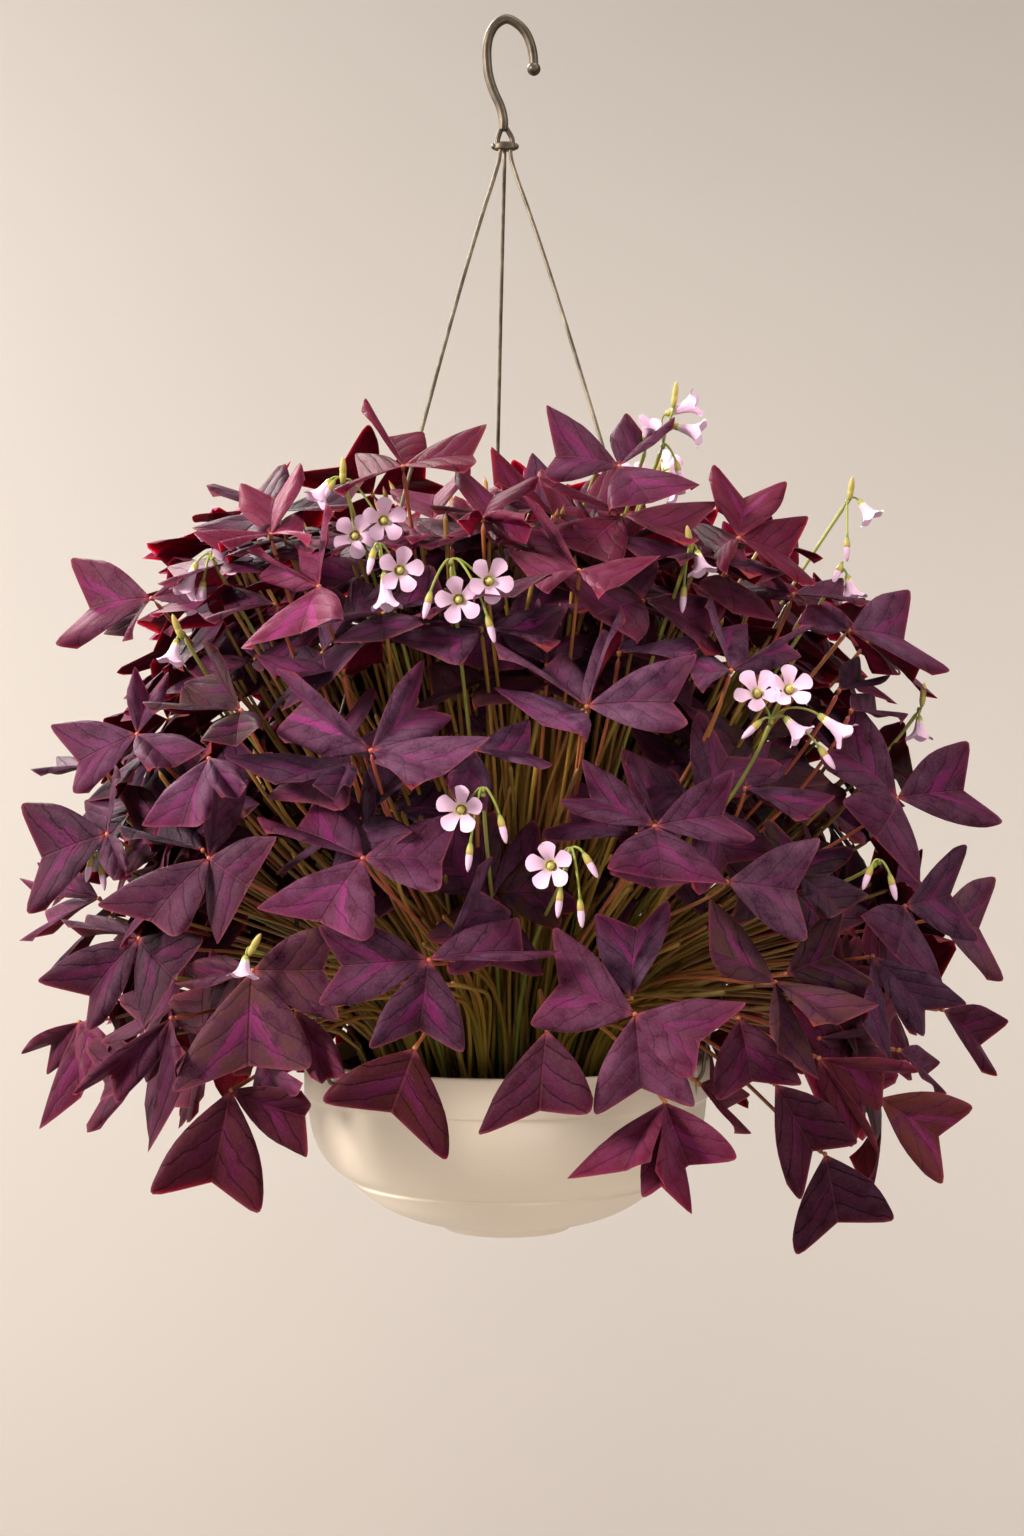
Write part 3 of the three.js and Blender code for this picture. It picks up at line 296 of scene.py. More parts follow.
def lattice_leaf(i, draw):
    """Leaf i on a golden-ratio lattice: the first over the middle of the top, the rest round the back."""
    top = i < TOP_LEAVES
    down = 42 + 4 * i if top else 353 * ((i - TOP_LEAVES + 1.3) / (BACK_LEAVES - TOP_LEAVES + 1)) ** 0.9
    rise = 310 - down + draw(-5, 5)
    around = math.radians(-5 + (360 if top else 190) * ((i * 0.618034) % 1) + draw(-4, 4))
    share = draw(0.9, 1)
    radius = 95 * math.sqrt((i + 0.5) / TOP_LEAVES) if top else dome_radius(rise) * share
    hub = polar(radius, around, RIM_Z + rise) + vec(0, 22 if top else 0, 0)
    tilt = math.radians(8 + 52 * np.clip((rise - 10) / 290, 0, 1) ** 1.2 + draw(-10, 10))
    axes = leaf_axes(tilt, around + math.pi / 2 + math.radians(draw(-12, 12)))
    first = draw(0, math.pi * 2)
    low = np.clip((90 - rise) / 120, 0, 1)

    def leaflet(k):
        bearing = first + math.radians(120 * k + draw(-10, 10))
        droop = math.radians(draw(2, 14) + 22 * low)
        return corners(hub, axes, bearing, droop, math.radians(draw(12, 30)), draw(43, 49))

    return {"hub": hub, "axes": axes, "leaflets": np.array([leaflet(k) for k in range(3)])}


def front_head(row):
    """Joint, facing and flowers of a listed flower head."""
    across, rise, layer, *items = row
    joint = on_front(across, rise, layer)
    places = [(kind, seen_at(across + x, rise + z, joint[1] - 4)) for kind, x, z in items]
    return {"joint": joint, "facing": vec(0, -1, 0.2), "items": places}


def back_head(i):
    """Joint, facing and flowers of a head at the back."""
    rise = [285, 235, 180][i % 3]
    bearing = math.radians(35 + 110 * (i + 0.5) / BACK_HEADS)
    out = polar(1.0, bearing, 0)
    joint = out * dome_radius(rise) * 0.96
    joint[2] = RIM_Z + rise + 12
    side = np.cross(out, UP)
    items = [("o", -13, 4), ("c", 15, -9), ("b", 3, 9), ("o", 11, 8)]
    places = [(kind, joint + out * 7 + side * aside + UP * lift) for kind, aside, lift in items]
    return {"joint": joint, "facing": out + UP * 0.25, "items": places}


def base_radius(tip):
    """How far out in the soil stalks stand: the lower their tips hang, the nearer the wall."""
    lean = np.arctan2(tip[..., 2] - RIM_Z + 40, np.hypot(tip[..., 0], tip[..., 1])) / (math.pi / 2)
    return BASE_RADIUS * np.clip(1.12 * (1 - lean), 0.04, 1)


def base_of(tip):
    """Where a stalk stands in the soil, below its tip's bearing."""
    return list(tip[:2] / math.hypot(tip[0], tip[1]) * base_radius(tip))


def gather(leaves):
    """Crowns: neighbours at the base share one."""
    free = [(leaf, base_of(leaf["hub"])) for leaf in leaves]
    crowns = []
    while free:
        free.sort(key=lambda item: -round(10 * math.hypot(*item[1])))
        x, y = free[0][1]
        near = sorted(free, key=lambda item: math.hypot(item[1][0] - x, item[1][1] - y))[:CROWN_SHARE]
        free = [item for item in free if not any(item is taken for taken in near)]
        spot = [sum(item[1][k] for item in near) / len(near) for k in (0, 1)]
        crowns.append({"spot": spot, "radius": CROWN_RADIUS, "leaves": [item[0] for item in near]})
    return crowns


def ease_apart(crowns):
    """Pushes crowns in the soil apart in turn until each has room."""
    for _ in range(60):
        for a in crowns:
            p = a["spot"]
            for b in crowns:
                q = b["spot"]
                gap = math.hypot(q[0] - p[0], q[1] - p[1]) or 1
                want = a["radius"] + b["radius"] + CROWN_GAP
                if a is b or gap >= want:
                    continue
                push = (want - gap) / gap * 0.3
                dx, dy = (q[0] - p[0]) * push, (q[1] - p[1]) * push
                q[0], q[1] = q[0] + dx, q[1] + dy
                p[0], p[1] = p[0] - dx, p[1] - dy
            out = math.hypot(*p)
            if out > BASE_LIMIT:
                p[0] *= BASE_LIMIT / out
                p[1] *= BASE_LIMIT / out


# Paths of stalks


def bezier(controls, t):
    """Points of cubics at shares t: controls (..., 4, 3) weighted by the Bernstein polynomials."""
    t = np.asarray(t)[:, None]
    weights = [(1 - t) ** 3, 3 * (1 - t) ** 2 * t, 3 * (1 - t) * t**2, t**3]
    return sum(w * controls[..., k, None, :] for k, w in enumerate(weights))


def spaced(controls, steps):
    """Points at even lengths along one cubic, the length taken over 200 chords."""
    fine = bezier(controls, np.linspace(0, 1, 201))
    length = np.concatenate([[0], np.cumsum(np.linalg.norm(np.diff(fine, axis=0), axis=1))])
    at = np.interp(np.linspace(0, length[-1], steps + 1), length, np.linspace(0, 1, 201))
    return bezier(controls, at)


def stalk_path(foot, tip, face, bend):
    """Controls of stalks: up from the soil, then out, drooping to a low tip, bent aside by bend. The
    face pulls the way in which a stalk ends."""
    out = unit(tip * [1, 1, 0])
    aside = np.cross(UP, out)
    length = np.linalg.norm(tip - foot, axis=-1, keepdims=True)
    high = np.clip((tip[..., 2:] - RIM_Z + 20) / 180, 0, 1)
    leave = foot + UP * length * lerp(*STALK_RISE, high) + out * length * STALK_LEAN + aside * bend * 0.5
    along = out * lerp(*STALK_OUT, high) + UP * lerp(*STALK_UP, high)
    if face is not None:
        along = unit(along + face)
    return np.stack([foot, leave, tip - along * length * STALK_END + aside * bend, tip], axis=-2)


def line_gap(line, pieces):
    """Least distance from a line of points to straight pieces (n, 2, 3), stepped from both sides."""
    a, b = line[:-1, None], line[1:, None]
    c, d = pieces[None, :, 0], pieces[None, :, 1]
    u, v, w = b - a, d - c, a - c
    uu, vv, uv = (u * u).sum(-1), (v * v).sum(-1), (u * v).sum(-1)
    uw, vw = (u * w).sum(-1), (v * w).sum(-1)
    s = np.clip((uv * vw - vv * uw) / np.maximum(1e-9, uu * vv - uv * uv), 0, 1)
    t = np.clip((vw + s * uv) / vv, 0, 1)
    s = np.clip((t * uv - uw) / uu, 0, 1)
    return np.linalg.norm(w + u * s[..., None] - v * t[..., None], axis=-1).min()


BENDS = [0, 6, -6, 12, -12, 18, -18, 25, -25, 33, -33, 42, -42, 52, -52, 64, -64]
placed = {"owner": [], "pieces": np.zeros((0, 2, 3))}


def place(owner, line):
    """Keeps a line as room that later stalks stay out of."""
    pieces = np.stack([line[:-1], line[1:]], axis=1)
    placed["owner"] += [owner] * len(pieces)
    placed["pieces"] = np.concatenate([placed["pieces"], pieces])


def clear_path(foot, tip, face, steps, owner, room):
    """Controls of the first bend of a stalk that runs clear of those placed before it."""
    best = None
    others = placed["pieces"][np.array([o != owner for o in placed["owner"]])]
    for bend in BENDS:
        path = stalk_path(foot, tip, face, bend)
        line = spaced(path, steps)
        gap = min(99, line_gap(line, others))
        if best is None or gap > best[2] + 0.2:
            best = (path, line, gap)
        if gap > room:
            break
    place(owner, best[1])
    return best[0]


def upright_frame(axis):
    """Two directions square to an axis."""
    side = UP if abs(axis[2]) < 0.9 else vec(1, 0, 0)
    u = unit(np.cross(side, axis))
    return u, np.cross(axis, u)


def head_paths(head, foot, owner):
    """Controls of a head's scape and pedicels, and each flower's kind, seat, axis and size."""
    joint = head["joint"]
    scape = clear_path(foot, joint, None, 6, owner, SCAPE_GAP)
    flowers = []
    for kind, at in head["items"]:
        toward = unit(at - joint)
        bell = np.clip(0.75 * np.linalg.norm(at - joint), 9, 16)
        axis, depth, radius, back = {
            "o": (toward * 0.35 + head["facing"], 6, FLOWER_RADIUS, 6),
            "c": (vec(toward[0], toward[1] * 0.4 - 0.1, toward[2] - 0.55), bell, 7, bell),
            "b": (vec(toward[0] * 0.5, toward[1] * 0.3, toward[2] - 0.05), 12, 2.2, 6),
        }[kind]
        axis = unit(axis)
        seat = at - axis * back
        span = np.linalg.norm(seat - joint)
        rise = lerp(joint, seat, 0.2) + UP * span * 0.4
        start = joint + unit(rise - joint) * 0.6
        pedicel = np.array([start, rise, seat - axis * max(3, span * 0.3), seat])
        u, v = upright_frame(axis)
        angles = np.array([0, 2, 4, 1, 3, 0]) / 5 * math.pi * 2
        round_axis = np.outer(np.cos(angles), u) + np.outer(np.sin(angles), v)
        star = seat + axis * depth * 0.8 + radius * round_axis
        place(owner, spaced(pedicel, 3))
        place(owner, star)
        flowers.append({"kind": kind, "seat": seat, "axis": axis, "u": u, "v": v, "depth": depth,
                        "radius": radius, "pedicel": pedicel})
    return {"scape": scape, "flowers": flowers, "joint": joint}


# Hanger lines

HOOK_LINE = [
    [13.4, -21.5], [13, -15.5], [11.6, -9.5], [9, -4], [5.2, -0.1], [0, 2.35], [-5.2, -0.1], [-8.4, -5],
    [-9.9, -11], [-10, -18], [-9.1, -26], [-6.4, -34.5], [-3.3, -41.5], [-1.8, -48], [-1.9, -53.5],
]
LEG_LINES = [
    [[-1.9, -50], [-3.5, -54], [-4.6, -57.5], [-4.8, COLLAR_TOP - 1.5]],
    [[-1.9, -50], [0.7, -54], [2.5, -57.5], [2.8, COLLAR_TOP - 1.5]],
]


def wire_knots(bearing):
    """Knots of a wire: steeply out of the collar, out over the leaves, in to its hole and up."""
    hole = RIM_Z - HOLE_DROP
    line = np.array([
        [2.8, WIRE_TOP], [3.3, -67], [6, -76], [12, -92], [64, -250], [116, -408], [120.4, -424],
        [121, -444], [114, -480], [107, hole + 21], [105, hole + 11], [104, hole + 4], [102, hole + 0.8],
        [99, hole], [94, hole], [91.6, hole + 1.4], [90.8, hole + 4.6],
    ])
    turn = math.radians(bearing)
    shift = COLLAR_X * np.clip(1 + (line[:, 1] - COLLAR_TOP) / 300, 0, 1)
    return np.stack([line[:, 0] * math.sin(turn) + shift, -line[:, 0] * math.cos(turn), line[:, 1]], -1)


# The whole layout, worked out in the part's order so that its draws and bends come out the same

part_draw = seeded(20719)
leaves = [front_leaf(row) for row in FRONT_LEAVES]
leaves += [lattice_leaf(i, part_draw) for i in range(BACK_LEAVES)]
crowns = gather(leaves)
heads = [front_head(row) for row in FRONT_HEADS] + [back_head(i) for i in range(BACK_HEADS)]
scapes = [{"spot": base_of(head["joint"]), "radius": SCAPE_ROOT} for head in heads]
ease_apart([*crowns, *scapes])
for bearing in WIRE_BEARINGS:
    place(bearing, wire_knots(bearing))
blooms = []
for i, head in enumerate(heads):
    foot = vec(*scapes[i]["spot"], RIM_Z - SOIL_DROP - 5)
    blooms.append(head_paths(head, foot, f"head{i}"))
for i, crown in enumerate(crowns):
    for leaf in crown["leaves"]:
        toward = unit(vec(leaf["hub"][0] - crown["spot"][0], leaf["hub"][1] - crown["spot"][1], 0))
        foot = vec(*crown["spot"], RIM_Z - SOIL_DROP - 4) + toward * 1.3
        tip = leaf["hub"] - leaf["axes"][0] * HUB_DEPTH
        room = 2 * STALK_RADIUS + STALK_GAP
        leaf["stalk"] = clear_path(foot, tip, leaf["axes"][0] * 0.8, 4, i, room)


# Meshes


def squares(at):
    """The squares of grids of point numbers (n, rows, cols), each turned from columns to rows."""
    ring = [at[:, :-1, :-1], at[:, :-1, 1:], at[:, 1:, 1:], at[:, 1:, :-1]]
    return np.stack(ring, axis=-1).reshape(-1, 4)


def part(points, faces, look=0, uv=None, tone=None):
    """Points and faces that share a material, with a place (u, v) and a tone (r, g, b, a) a point."""
    count = len(points)
    uv = np.zeros((count, 2)) if uv is None else uv.reshape(count, 2)
    tone = np.tile([1.0, 1, 1, 0], (count, 1)) if tone is None else tone.reshape(count, 4)
    looks = np.broadcast_to(look, len(faces))
    return {"points": points, "faces": faces, "looks": looks, "uv": uv, "tone": tone}


def shell(top, bottom, uv, tone, looks):
    """Closed thin skins of two grids (n, rows, cols, 3) that share the points of their four edges."""
    n, rows, cols, _ = top.shape
    over = np.arange(n * rows * cols).reshape(n, rows, cols)
    under = over.copy()
    under[:, 1:-1, 1:-1] = np.arange(n * (rows - 2) * (cols - 2)).reshape(n, rows - 2, cols - 2) + over.size

    def both(a, b):
        a, b = (np.broadcast_to(x, (n, rows, cols, x.shape[-1])) for x in (a, b))
        return np.concatenate([a.reshape(-1, a.shape[-1]), b[:, 1:-1, 1:-1].reshape(-1, a.shape[-1])])

    upper, lower = squares(over), squares(under)[:, ::-1]
    look = np.repeat(looks, [len(upper), len(lower)])
    return part(both(top, bottom), np.concatenate([upper, lower]), look, both(uv, uv), both(tone, tone))


def tubes(lines, radii, sides, look=0, tone=None):
    """Round bars along lines (n, m, 3): rings square to each line, drawn in to a point at its ends."""
    n, m, _ = lines.shape
    along = unit(np.gradient(lines, axis=1))
    side = np.cross(lines[:, -1] - lines[:, 0], UP) + vec(0.013, 0.007, 0)
    side = side[:, None] - along * (side[:, None] * along).sum(-1, keepdims=True)
    u = unit(side)
    v = np.cross(along, u)
    angle = np.linspace(0, 2 * math.pi, sides, endpoint=False)[:, None]
    ring = np.cos(angle) * u[:, :, None] + np.sin(angle) * v[:, :, None]
    points = lines[:, :, None] + np.broadcast_to(radii, (n, m))[:, :, None, None] * ring
    at = np.arange(n * m * sides).reshape(n, m, sides)
    at[:, 0] = at[:, 0, :1]
    at[:, -1] = at[:, -1, :1]
    faces = squares(np.concatenate([at, at[:, :, :1]], axis=2))
    share = np.linspace(0, 1, m)[None, :, None]
    uv = np.stack(np.broadcast_arrays(np.arange(sides)[None, None] / sides, share + np.zeros((n, 1, 1))), -1)
    if tone is not None:
        tone = np.broadcast_to(tone[:, None, None], (n, m, sides, 4)).reshape(-1, 4)
    return part(points.reshape(-1, 3), faces, look, uv, tone)


def turned(profile, segments, ripple=0.0, lift=RIM_Z):
    """A profile (m, 2) of radius and height above lift, carried once round the upright axis."""
    angle = np.linspace(0, 2 * math.pi, segments, endpoint=False)
    points = polar(profile[:, None, 0] * np.ones(segments), angle, profile[:, None, 1] + lift + ripple)
    at = np.arange(len(profile) * segments).reshape(1, len(profile), segments)
    for end in (0, -1):
        if profile[end, 0] == 0:
            at[:, end] = at[:, end, :1]
    faces = squares(np.concatenate([at, at[:, :, :1]], axis=2))
    return part(points.reshape(-1, 3), faces)


def rounded(line, steps):
    """A line through knots on Hermite cubics. The slope at a knot is the mean of the slopes of its
    two spans, each weighted by the length of the other, so a short span beside a long one stays
    calm. Every span gets the same number of steps."""
    line = np.asarray(line, dtype=float)
    step = np.diff(line, axis=0)
    length = np.linalg.norm(step, axis=1, keepdims=True)
    slope = step / length
    middle = (slope[:-1] * length[1:] + slope[1:] * length[:-1]) / (length[:-1] + length[1:])
    slopes = np.concatenate([slope[:1], middle, slope[-1:]])
    t = np.linspace(0, 1, steps, endpoint=False)[None, :, None]
    a, b = line[:-1, None], line[1:, None]
    start, end = slopes[:-1, None] * length[:, None], slopes[1:, None] * length[:, None]
    spans = a * (1 + 2 * t) * (1 - t) ** 2 + start * t * (1 - t) ** 2
    spans = spans + b * t**2 * (3 - 2 * t) - end * t**2 * (1 - t)
    return np.concatenate([spans.reshape(-1, line.shape[-1]), line[-1:]])


def shown(name, data):
    """A new object in the scene."""
    obj = bpy.data.objects.new(name, data)
    bpy.context.scene.collection.objects.link(obj)
    return obj


def make_piece(name, parts, materials, nodes=()):
    """One mesh in metres of several parts, riding on the root. A square that repeats a corner is a
    triangle, and points that no face uses are dropped. Where both ends of an edge are on a margin,
    by the tone's last value, the edge is sharp."""
    offsets = np.cumsum([0] + [len(p["points"]) for p in parts])
    kinds = ("points", "uv", "tone", "looks")
    points, uv, tone, looks = (np.concatenate([p[k] for p in parts]) for k in kinds)
    faces = np.concatenate([p["faces"] + start for p, start in zip(parts, offsets)])
    kept = faces != np.roll(faces, -1, axis=1)
    used, corners = np.unique(faces[kept], return_inverse=True)
    starts = np.concatenate([[0], np.cumsum(kept.sum(axis=1))[:-1]])

    mesh = bpy.data.meshes.new(name)
    mesh.vertices.add(len(used))
    mesh.vertices.foreach_set("co", (points[used] / 1000).ravel())
    mesh.loops.add(len(corners))
    mesh.loops.foreach_set("vertex_index", corners.ravel())
    mesh.polygons.add(len(faces))
    mesh.polygons.foreach_set("loop_start", starts)
    mesh.polygons.foreach_set("material_index", looks)
    mesh.update(calc_edges=True)
    mesh.polygons.foreach_set("use_smooth", np.ones(len(faces), dtype=bool))
    ends = np.zeros(2 * len(mesh.edges), dtype=np.int32)
    mesh.edges.foreach_get("vertices", ends)
    margin = tone[used][ends.reshape(-1, 2), 3].min(axis=1) > 0.99
    mesh.attributes.new("sharp_edge", "BOOLEAN", "EDGE").data.foreach_set("value", margin)
    mesh.uv_layers.new(name="place").data.foreach_set("uv", uv[used][corners.ravel()].ravel())
    mesh.color_attributes.new("tone", "FLOAT_COLOR", "POINT").data.foreach_set("color", tone[used].ravel())
    for look in materials:
        mesh.materials.append(look)
    obj = shown(name, mesh)
    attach(obj, "root")
    if nodes:
        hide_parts(*nodes)
    return obj


def take(items, key):
    """One value of each item of a list, as an array."""
    return np.array([item[key] for item in items])


# Materials

# Kinds of node, and settings and inputs, that come back often
MATH, RANGE, MIX, NOISE, CELLS, BUMP = "Math", "MapRange", "Mix", "TexNoise", "TexVoronoi", "Bump"
TIMES, TIMES_PLUS = ({"operation": kind} for kind in ("MULTIPLY", "MULTIPLY_ADD"))
SMOOTH = {"interpolation_type": "SMOOTHSTEP"}
COLOUR = {"out": 2, "data_type": "RGBA"}
SHADE = COLOUR | {"blend_type": "MULTIPLY"}
FALL = {"To Min": 1.0, "To Max": 0.0}


def linear(code):
    """Linear colour of an sRGB hex value."""
    parts = [int(code[k : k + 2], 16) / 255 for k in (1, 3, 5)]
    return (*(c / 12.92 if c <= 0.04045 else ((c + 0.055) / 1.055) ** 2.4 for c in parts), 1.0)


def node(tree, kind, inputs=(), out=0, **settings):
    """Adds a node with its settings, sets or links its inputs, and gives one of its outputs. A
    colour is set by its hex value."""
    made = tree.nodes.new("ShaderNode" + kind)
    for key, value in settings.items():
        setattr(made, key, value)
    for key, value in dict(inputs).items():
        if isinstance(value, bpy.types.NodeSocket):
            tree.links.new(value, made.inputs[key])
        else:
            made.inputs[key].default_value = linear(value) if isinstance(value, str) else value
    return made.outputs[out] if made.outputs else made


def blank(name):
    """A new material with an empty node tree."""
    look = bpy.data.materials.new(name)
    look.use_nodes = True
    look.node_tree.nodes.clear()
    return look, look.node_tree


def finished(look, inputs):
    """Ends a material's tree in its shader, and gives the material."""
    shader = node(look.node_tree, "BsdfPrincipled", inputs)
    node(look.node_tree, "OutputMaterial", {"Surface": shader})
    return look


def place_of(tree):
    """The two values of the UV layer, across and along."""
    split = node(tree, "SeparateXYZ", {0: node(tree, "UVMap", uv_map="place")}).node
    return split.outputs[0], split.outputs[1]


def tones_of(tree):
    """The four values of the tone attribute."""
    tone = node(tree, "Attribute", attribute_name="tone").node
    split = node(tree, "SeparateColor", {0: tone.outputs["Color"]}).node
    return (*split.outputs, tone.outputs["Alpha"])


# Dark, pale (painted sheen), outer, bronze, crimson (partly painted glow), chevron and line colours of the
# two faces of a leaf
UPPER = ("#1d0812", "#704c6c", "#501838", "#4c3426", "#74142e", "#862a66", "#8e444e")
UNDER = ("#3c0814", "#64162a", "#5c1030", "#4a2214", "#960f36", "#7a163a", "#9c4242")


def leaf_skin(name, colours, marked):
    """Oxalis leaf. Above it is dull purple, with pale grey-violet patches of painted sheen on its fine grey
    down, and a magenta chevron across the rib; below it is bare and wine red. On both faces crimson is
    partly a painted glow of light coming through.
    Side veins leave the rib forwards and curve out to the edge, and the margin is a thin pink line.
    The tone attribute holds bronze, crimson, brightness (partly painted shade) and closeness to the margin,
    and marked is how much the chevron differs from leaf to leaf."""
    look, tree = blank(name)
    dark, pale, outer, brown, red, mark, line = colours
    side, along = place_of(tree)
    across = node(tree, MATH, {0: side}, operation="ABSOLUTE")
    bronze, crimson, bright, rim = tones_of(tree)
    spot = node(tree, "TexCoord", out=3)
    cloud = node(tree, NOISE, {"Vector": spot, "Scale": 110, "Detail": 3})  # 9 mm patches
    fleck = node(tree, NOISE, {"Vector": spot, "Scale": 900, "Detail": 4, "Roughness": 0.7})

    # Side veins: lines of equal along - 0.8 across + 0.3 across squared, with the cloud's wobble
    curl = node(tree, MATH, {0: across, 1: across}, **TIMES)
    swept = node(tree, MATH, {0: across, 1: -0.8, 2: along}, **TIMES_PLUS)
    swept = node(tree, MATH, {0: curl, 1: 0.3, 2: swept}, **TIMES_PLUS)
    swept = node(tree, MATH, {0: cloud, 1: 0.12, 2: swept}, **TIMES_PLUS)
    phase = node(tree, MATH, {0: swept, 1: 11.0}, **TIMES)
    phase = node(tree, MATH, {0: phase, 1: 1.0}, operation="PINGPONG")
    vein = node(tree, RANGE, {"Value": phase, "From Min": 0.0, "From Max": 0.13, **FALL})
    rib = node(tree, RANGE, {"Value": across, "From Min": 0.006, "From Max": 0.018, **FALL})
    net = node(tree, CELLS, {"Vector": spot, "Scale": 420}, feature="DISTANCE_TO_EDGE")
    net = node(tree, RANGE, {"Value": net, "From Min": 0.0, "From Max": 0.22, **FALL})

    # Chevron: it starts crisply near a line along = 0.27 + (0.9 to 1.8) across, is feathered by
    # streaks that run along its arms, fades forwards and outwards, and is clear on some leaves
    # and faint on others
    lean = node(tree, MATH, {0: bright, 1: -1.0, 2: -0.8}, **TIMES_PLUS)
    arm = node(tree, MATH, {0: across, 1: lean, 2: along}, **TIMES_PLUS)
    grain = [(arm, 26.0), (side, 5.0), (bright, 61.0)]
    grain = [node(tree, MATH, {0: value, 1: scale}, **TIMES) for value, scale in grain]
    grain = node(tree, "CombineXYZ", dict(enumerate(grain)))
    streak = node(tree, NOISE, {"Vector": grain, "Scale": 1.0, "Detail": 3, "Roughness": 0.6})
    arm = node(tree, MATH, {0: cloud, 1: 0.3, 2: arm}, **TIMES_PLUS)
    arm = node(tree, MATH, {0: streak, 1: 0.46, 2: arm}, **TIMES_PLUS)
    start = node(tree, RANGE, {"Value": arm, "From Min": 0.63, "From Max": 0.66})
    stop = node(tree, RANGE, {"Value": arm, "From Min": 0.65, "From Max": 0.88, **FALL}, **SMOOTH)
    fade = node(tree, RANGE, {"Value": across, "From Min": 0.12, "From Max": 0.46, **FALL}, **SMOOTH)
    chance = node(tree, MATH, {0: bright, 1: 7.3}, **TIMES)
    chance = node(tree, MATH, {0: chance}, operation="FRACT")
    chevron = node(tree, MATH, {0: chance, 1: marked, 2: 0.12}, **TIMES_PLUS)
    for share in (start, stop, fade):
        chevron = node(tree, MATH, {0: chevron, 1: share}, **TIMES)

    # Pale grey-violet patches in 9 mm clouds and fine flecks: painted sheen on the fine grey down
    down_and_sheen = node(tree, MATH, {0: cloud, 1: 1.3, 2: -0.67}, **TIMES_PLUS)
    down_and_sheen = node(tree, MATH, {0: fleck, 1: 0.9, 2: down_and_sheen}, use_clamp=True, **TIMES_PLUS)
    skin = node(tree, MIX, {0: down_and_sheen, 6: dark, 7: pale}, **COLOUR)
    # Towards the far margin the pale down with its painted sheen gives way and the blade is redder, more on
    # some leaves
    far = node(tree, MATH, {0: cloud, 1: 0.5, 2: along}, **TIMES_PLUS)
    far = node(tree, RANGE, {"Value": far, "From Min": 0.62, "From Max": 1.15}, **SMOOTH)
    blush = node(tree, MATH, {0: bright, 1: 3.7}, **TIMES)
    blush = node(tree, MATH, {0: blush}, operation="FRACT")
    far = node(tree, MATH, {0: far, 1: blush}, **TIMES)
    skin = node(tree, MIX, {0: far, 6: skin, 7: outer}, **COLOUR)
    patch = node(tree, RANGE, {"Value": cloud, "From Min": 0.35, "From Max": 0.6})
    patch = node(tree, MATH, {0: patch, 1: bronze}, **TIMES)
    # Crimson is the wine red of low leaves and, on high ones, a painted glow of light coming through
    for share, colour in [(patch, brown), (crimson, red), (chevron, mark)]:
        skin = node(tree, MIX, {0: share, 6: skin, 7: colour}, **COLOUR)
    # Brightness: a random tone per leaf, with painted shade on low and inner leaves; veins and the fine net
    # darken it
    light = node(tree, MATH, {0: bright, 1: 0.95, 2: 0.42}, **TIMES_PLUS)
    light = node(tree, MATH, {0: vein, 1: -0.42, 2: light}, **TIMES_PLUS)
    light = node(tree, MATH, {0: net, 1: -0.1, 2: light}, **TIMES_PLUS)
    skin = node(tree, MIX, {0: 1.0, 6: skin, 7: light}, **SHADE)
    joint = {"Value": along, "From Min": 0.02, "From Max": 0.09, "To Min": 0.9, "To Max": 0.0}
    drawn = node(tree, MATH, {0: rib, 1: 0.15, 2: node(tree, RANGE, joint)}, **TIMES_PLUS)
    edge = node(tree, MATH, {0: rim, 1: 6.0}, operation="POWER")
    drawn = node(tree, MATH, {0: edge, 1: 0.5, 2: drawn}, use_clamp=True, **TIMES_PLUS)
    skin = node(tree, MIX, {0: drawn, 6: skin, 7: line}, **COLOUR)

    height = node(tree, MATH, {0: phase, 1: 0.4}, operation="POWER")
    for value, share in [(fleck, 0.2), (net, -0.12), (rib, -1.2)]:
        height = node(tree, MATH, {0: value, 1: share, 2: height}, **TIMES_PLUS)
    relief = node(tree, BUMP, {"Height": height, "Strength": 0.7, "Distance": 0.0006})
    glow = node(tree, MATH, {0: crimson, 1: 0.4, 2: 0.06}, **TIMES_PLUS)
    inputs = {"Base Color": skin, "Roughness": 0.5, "Specular IOR Level": 0.04, "Normal": relief}
    inputs |= {"Subsurface Weight": glow, "Subsurface Radius": (1, 0.1, 0.16)}
    return finished(look, inputs | {"Subsurface Scale": 0.0016})


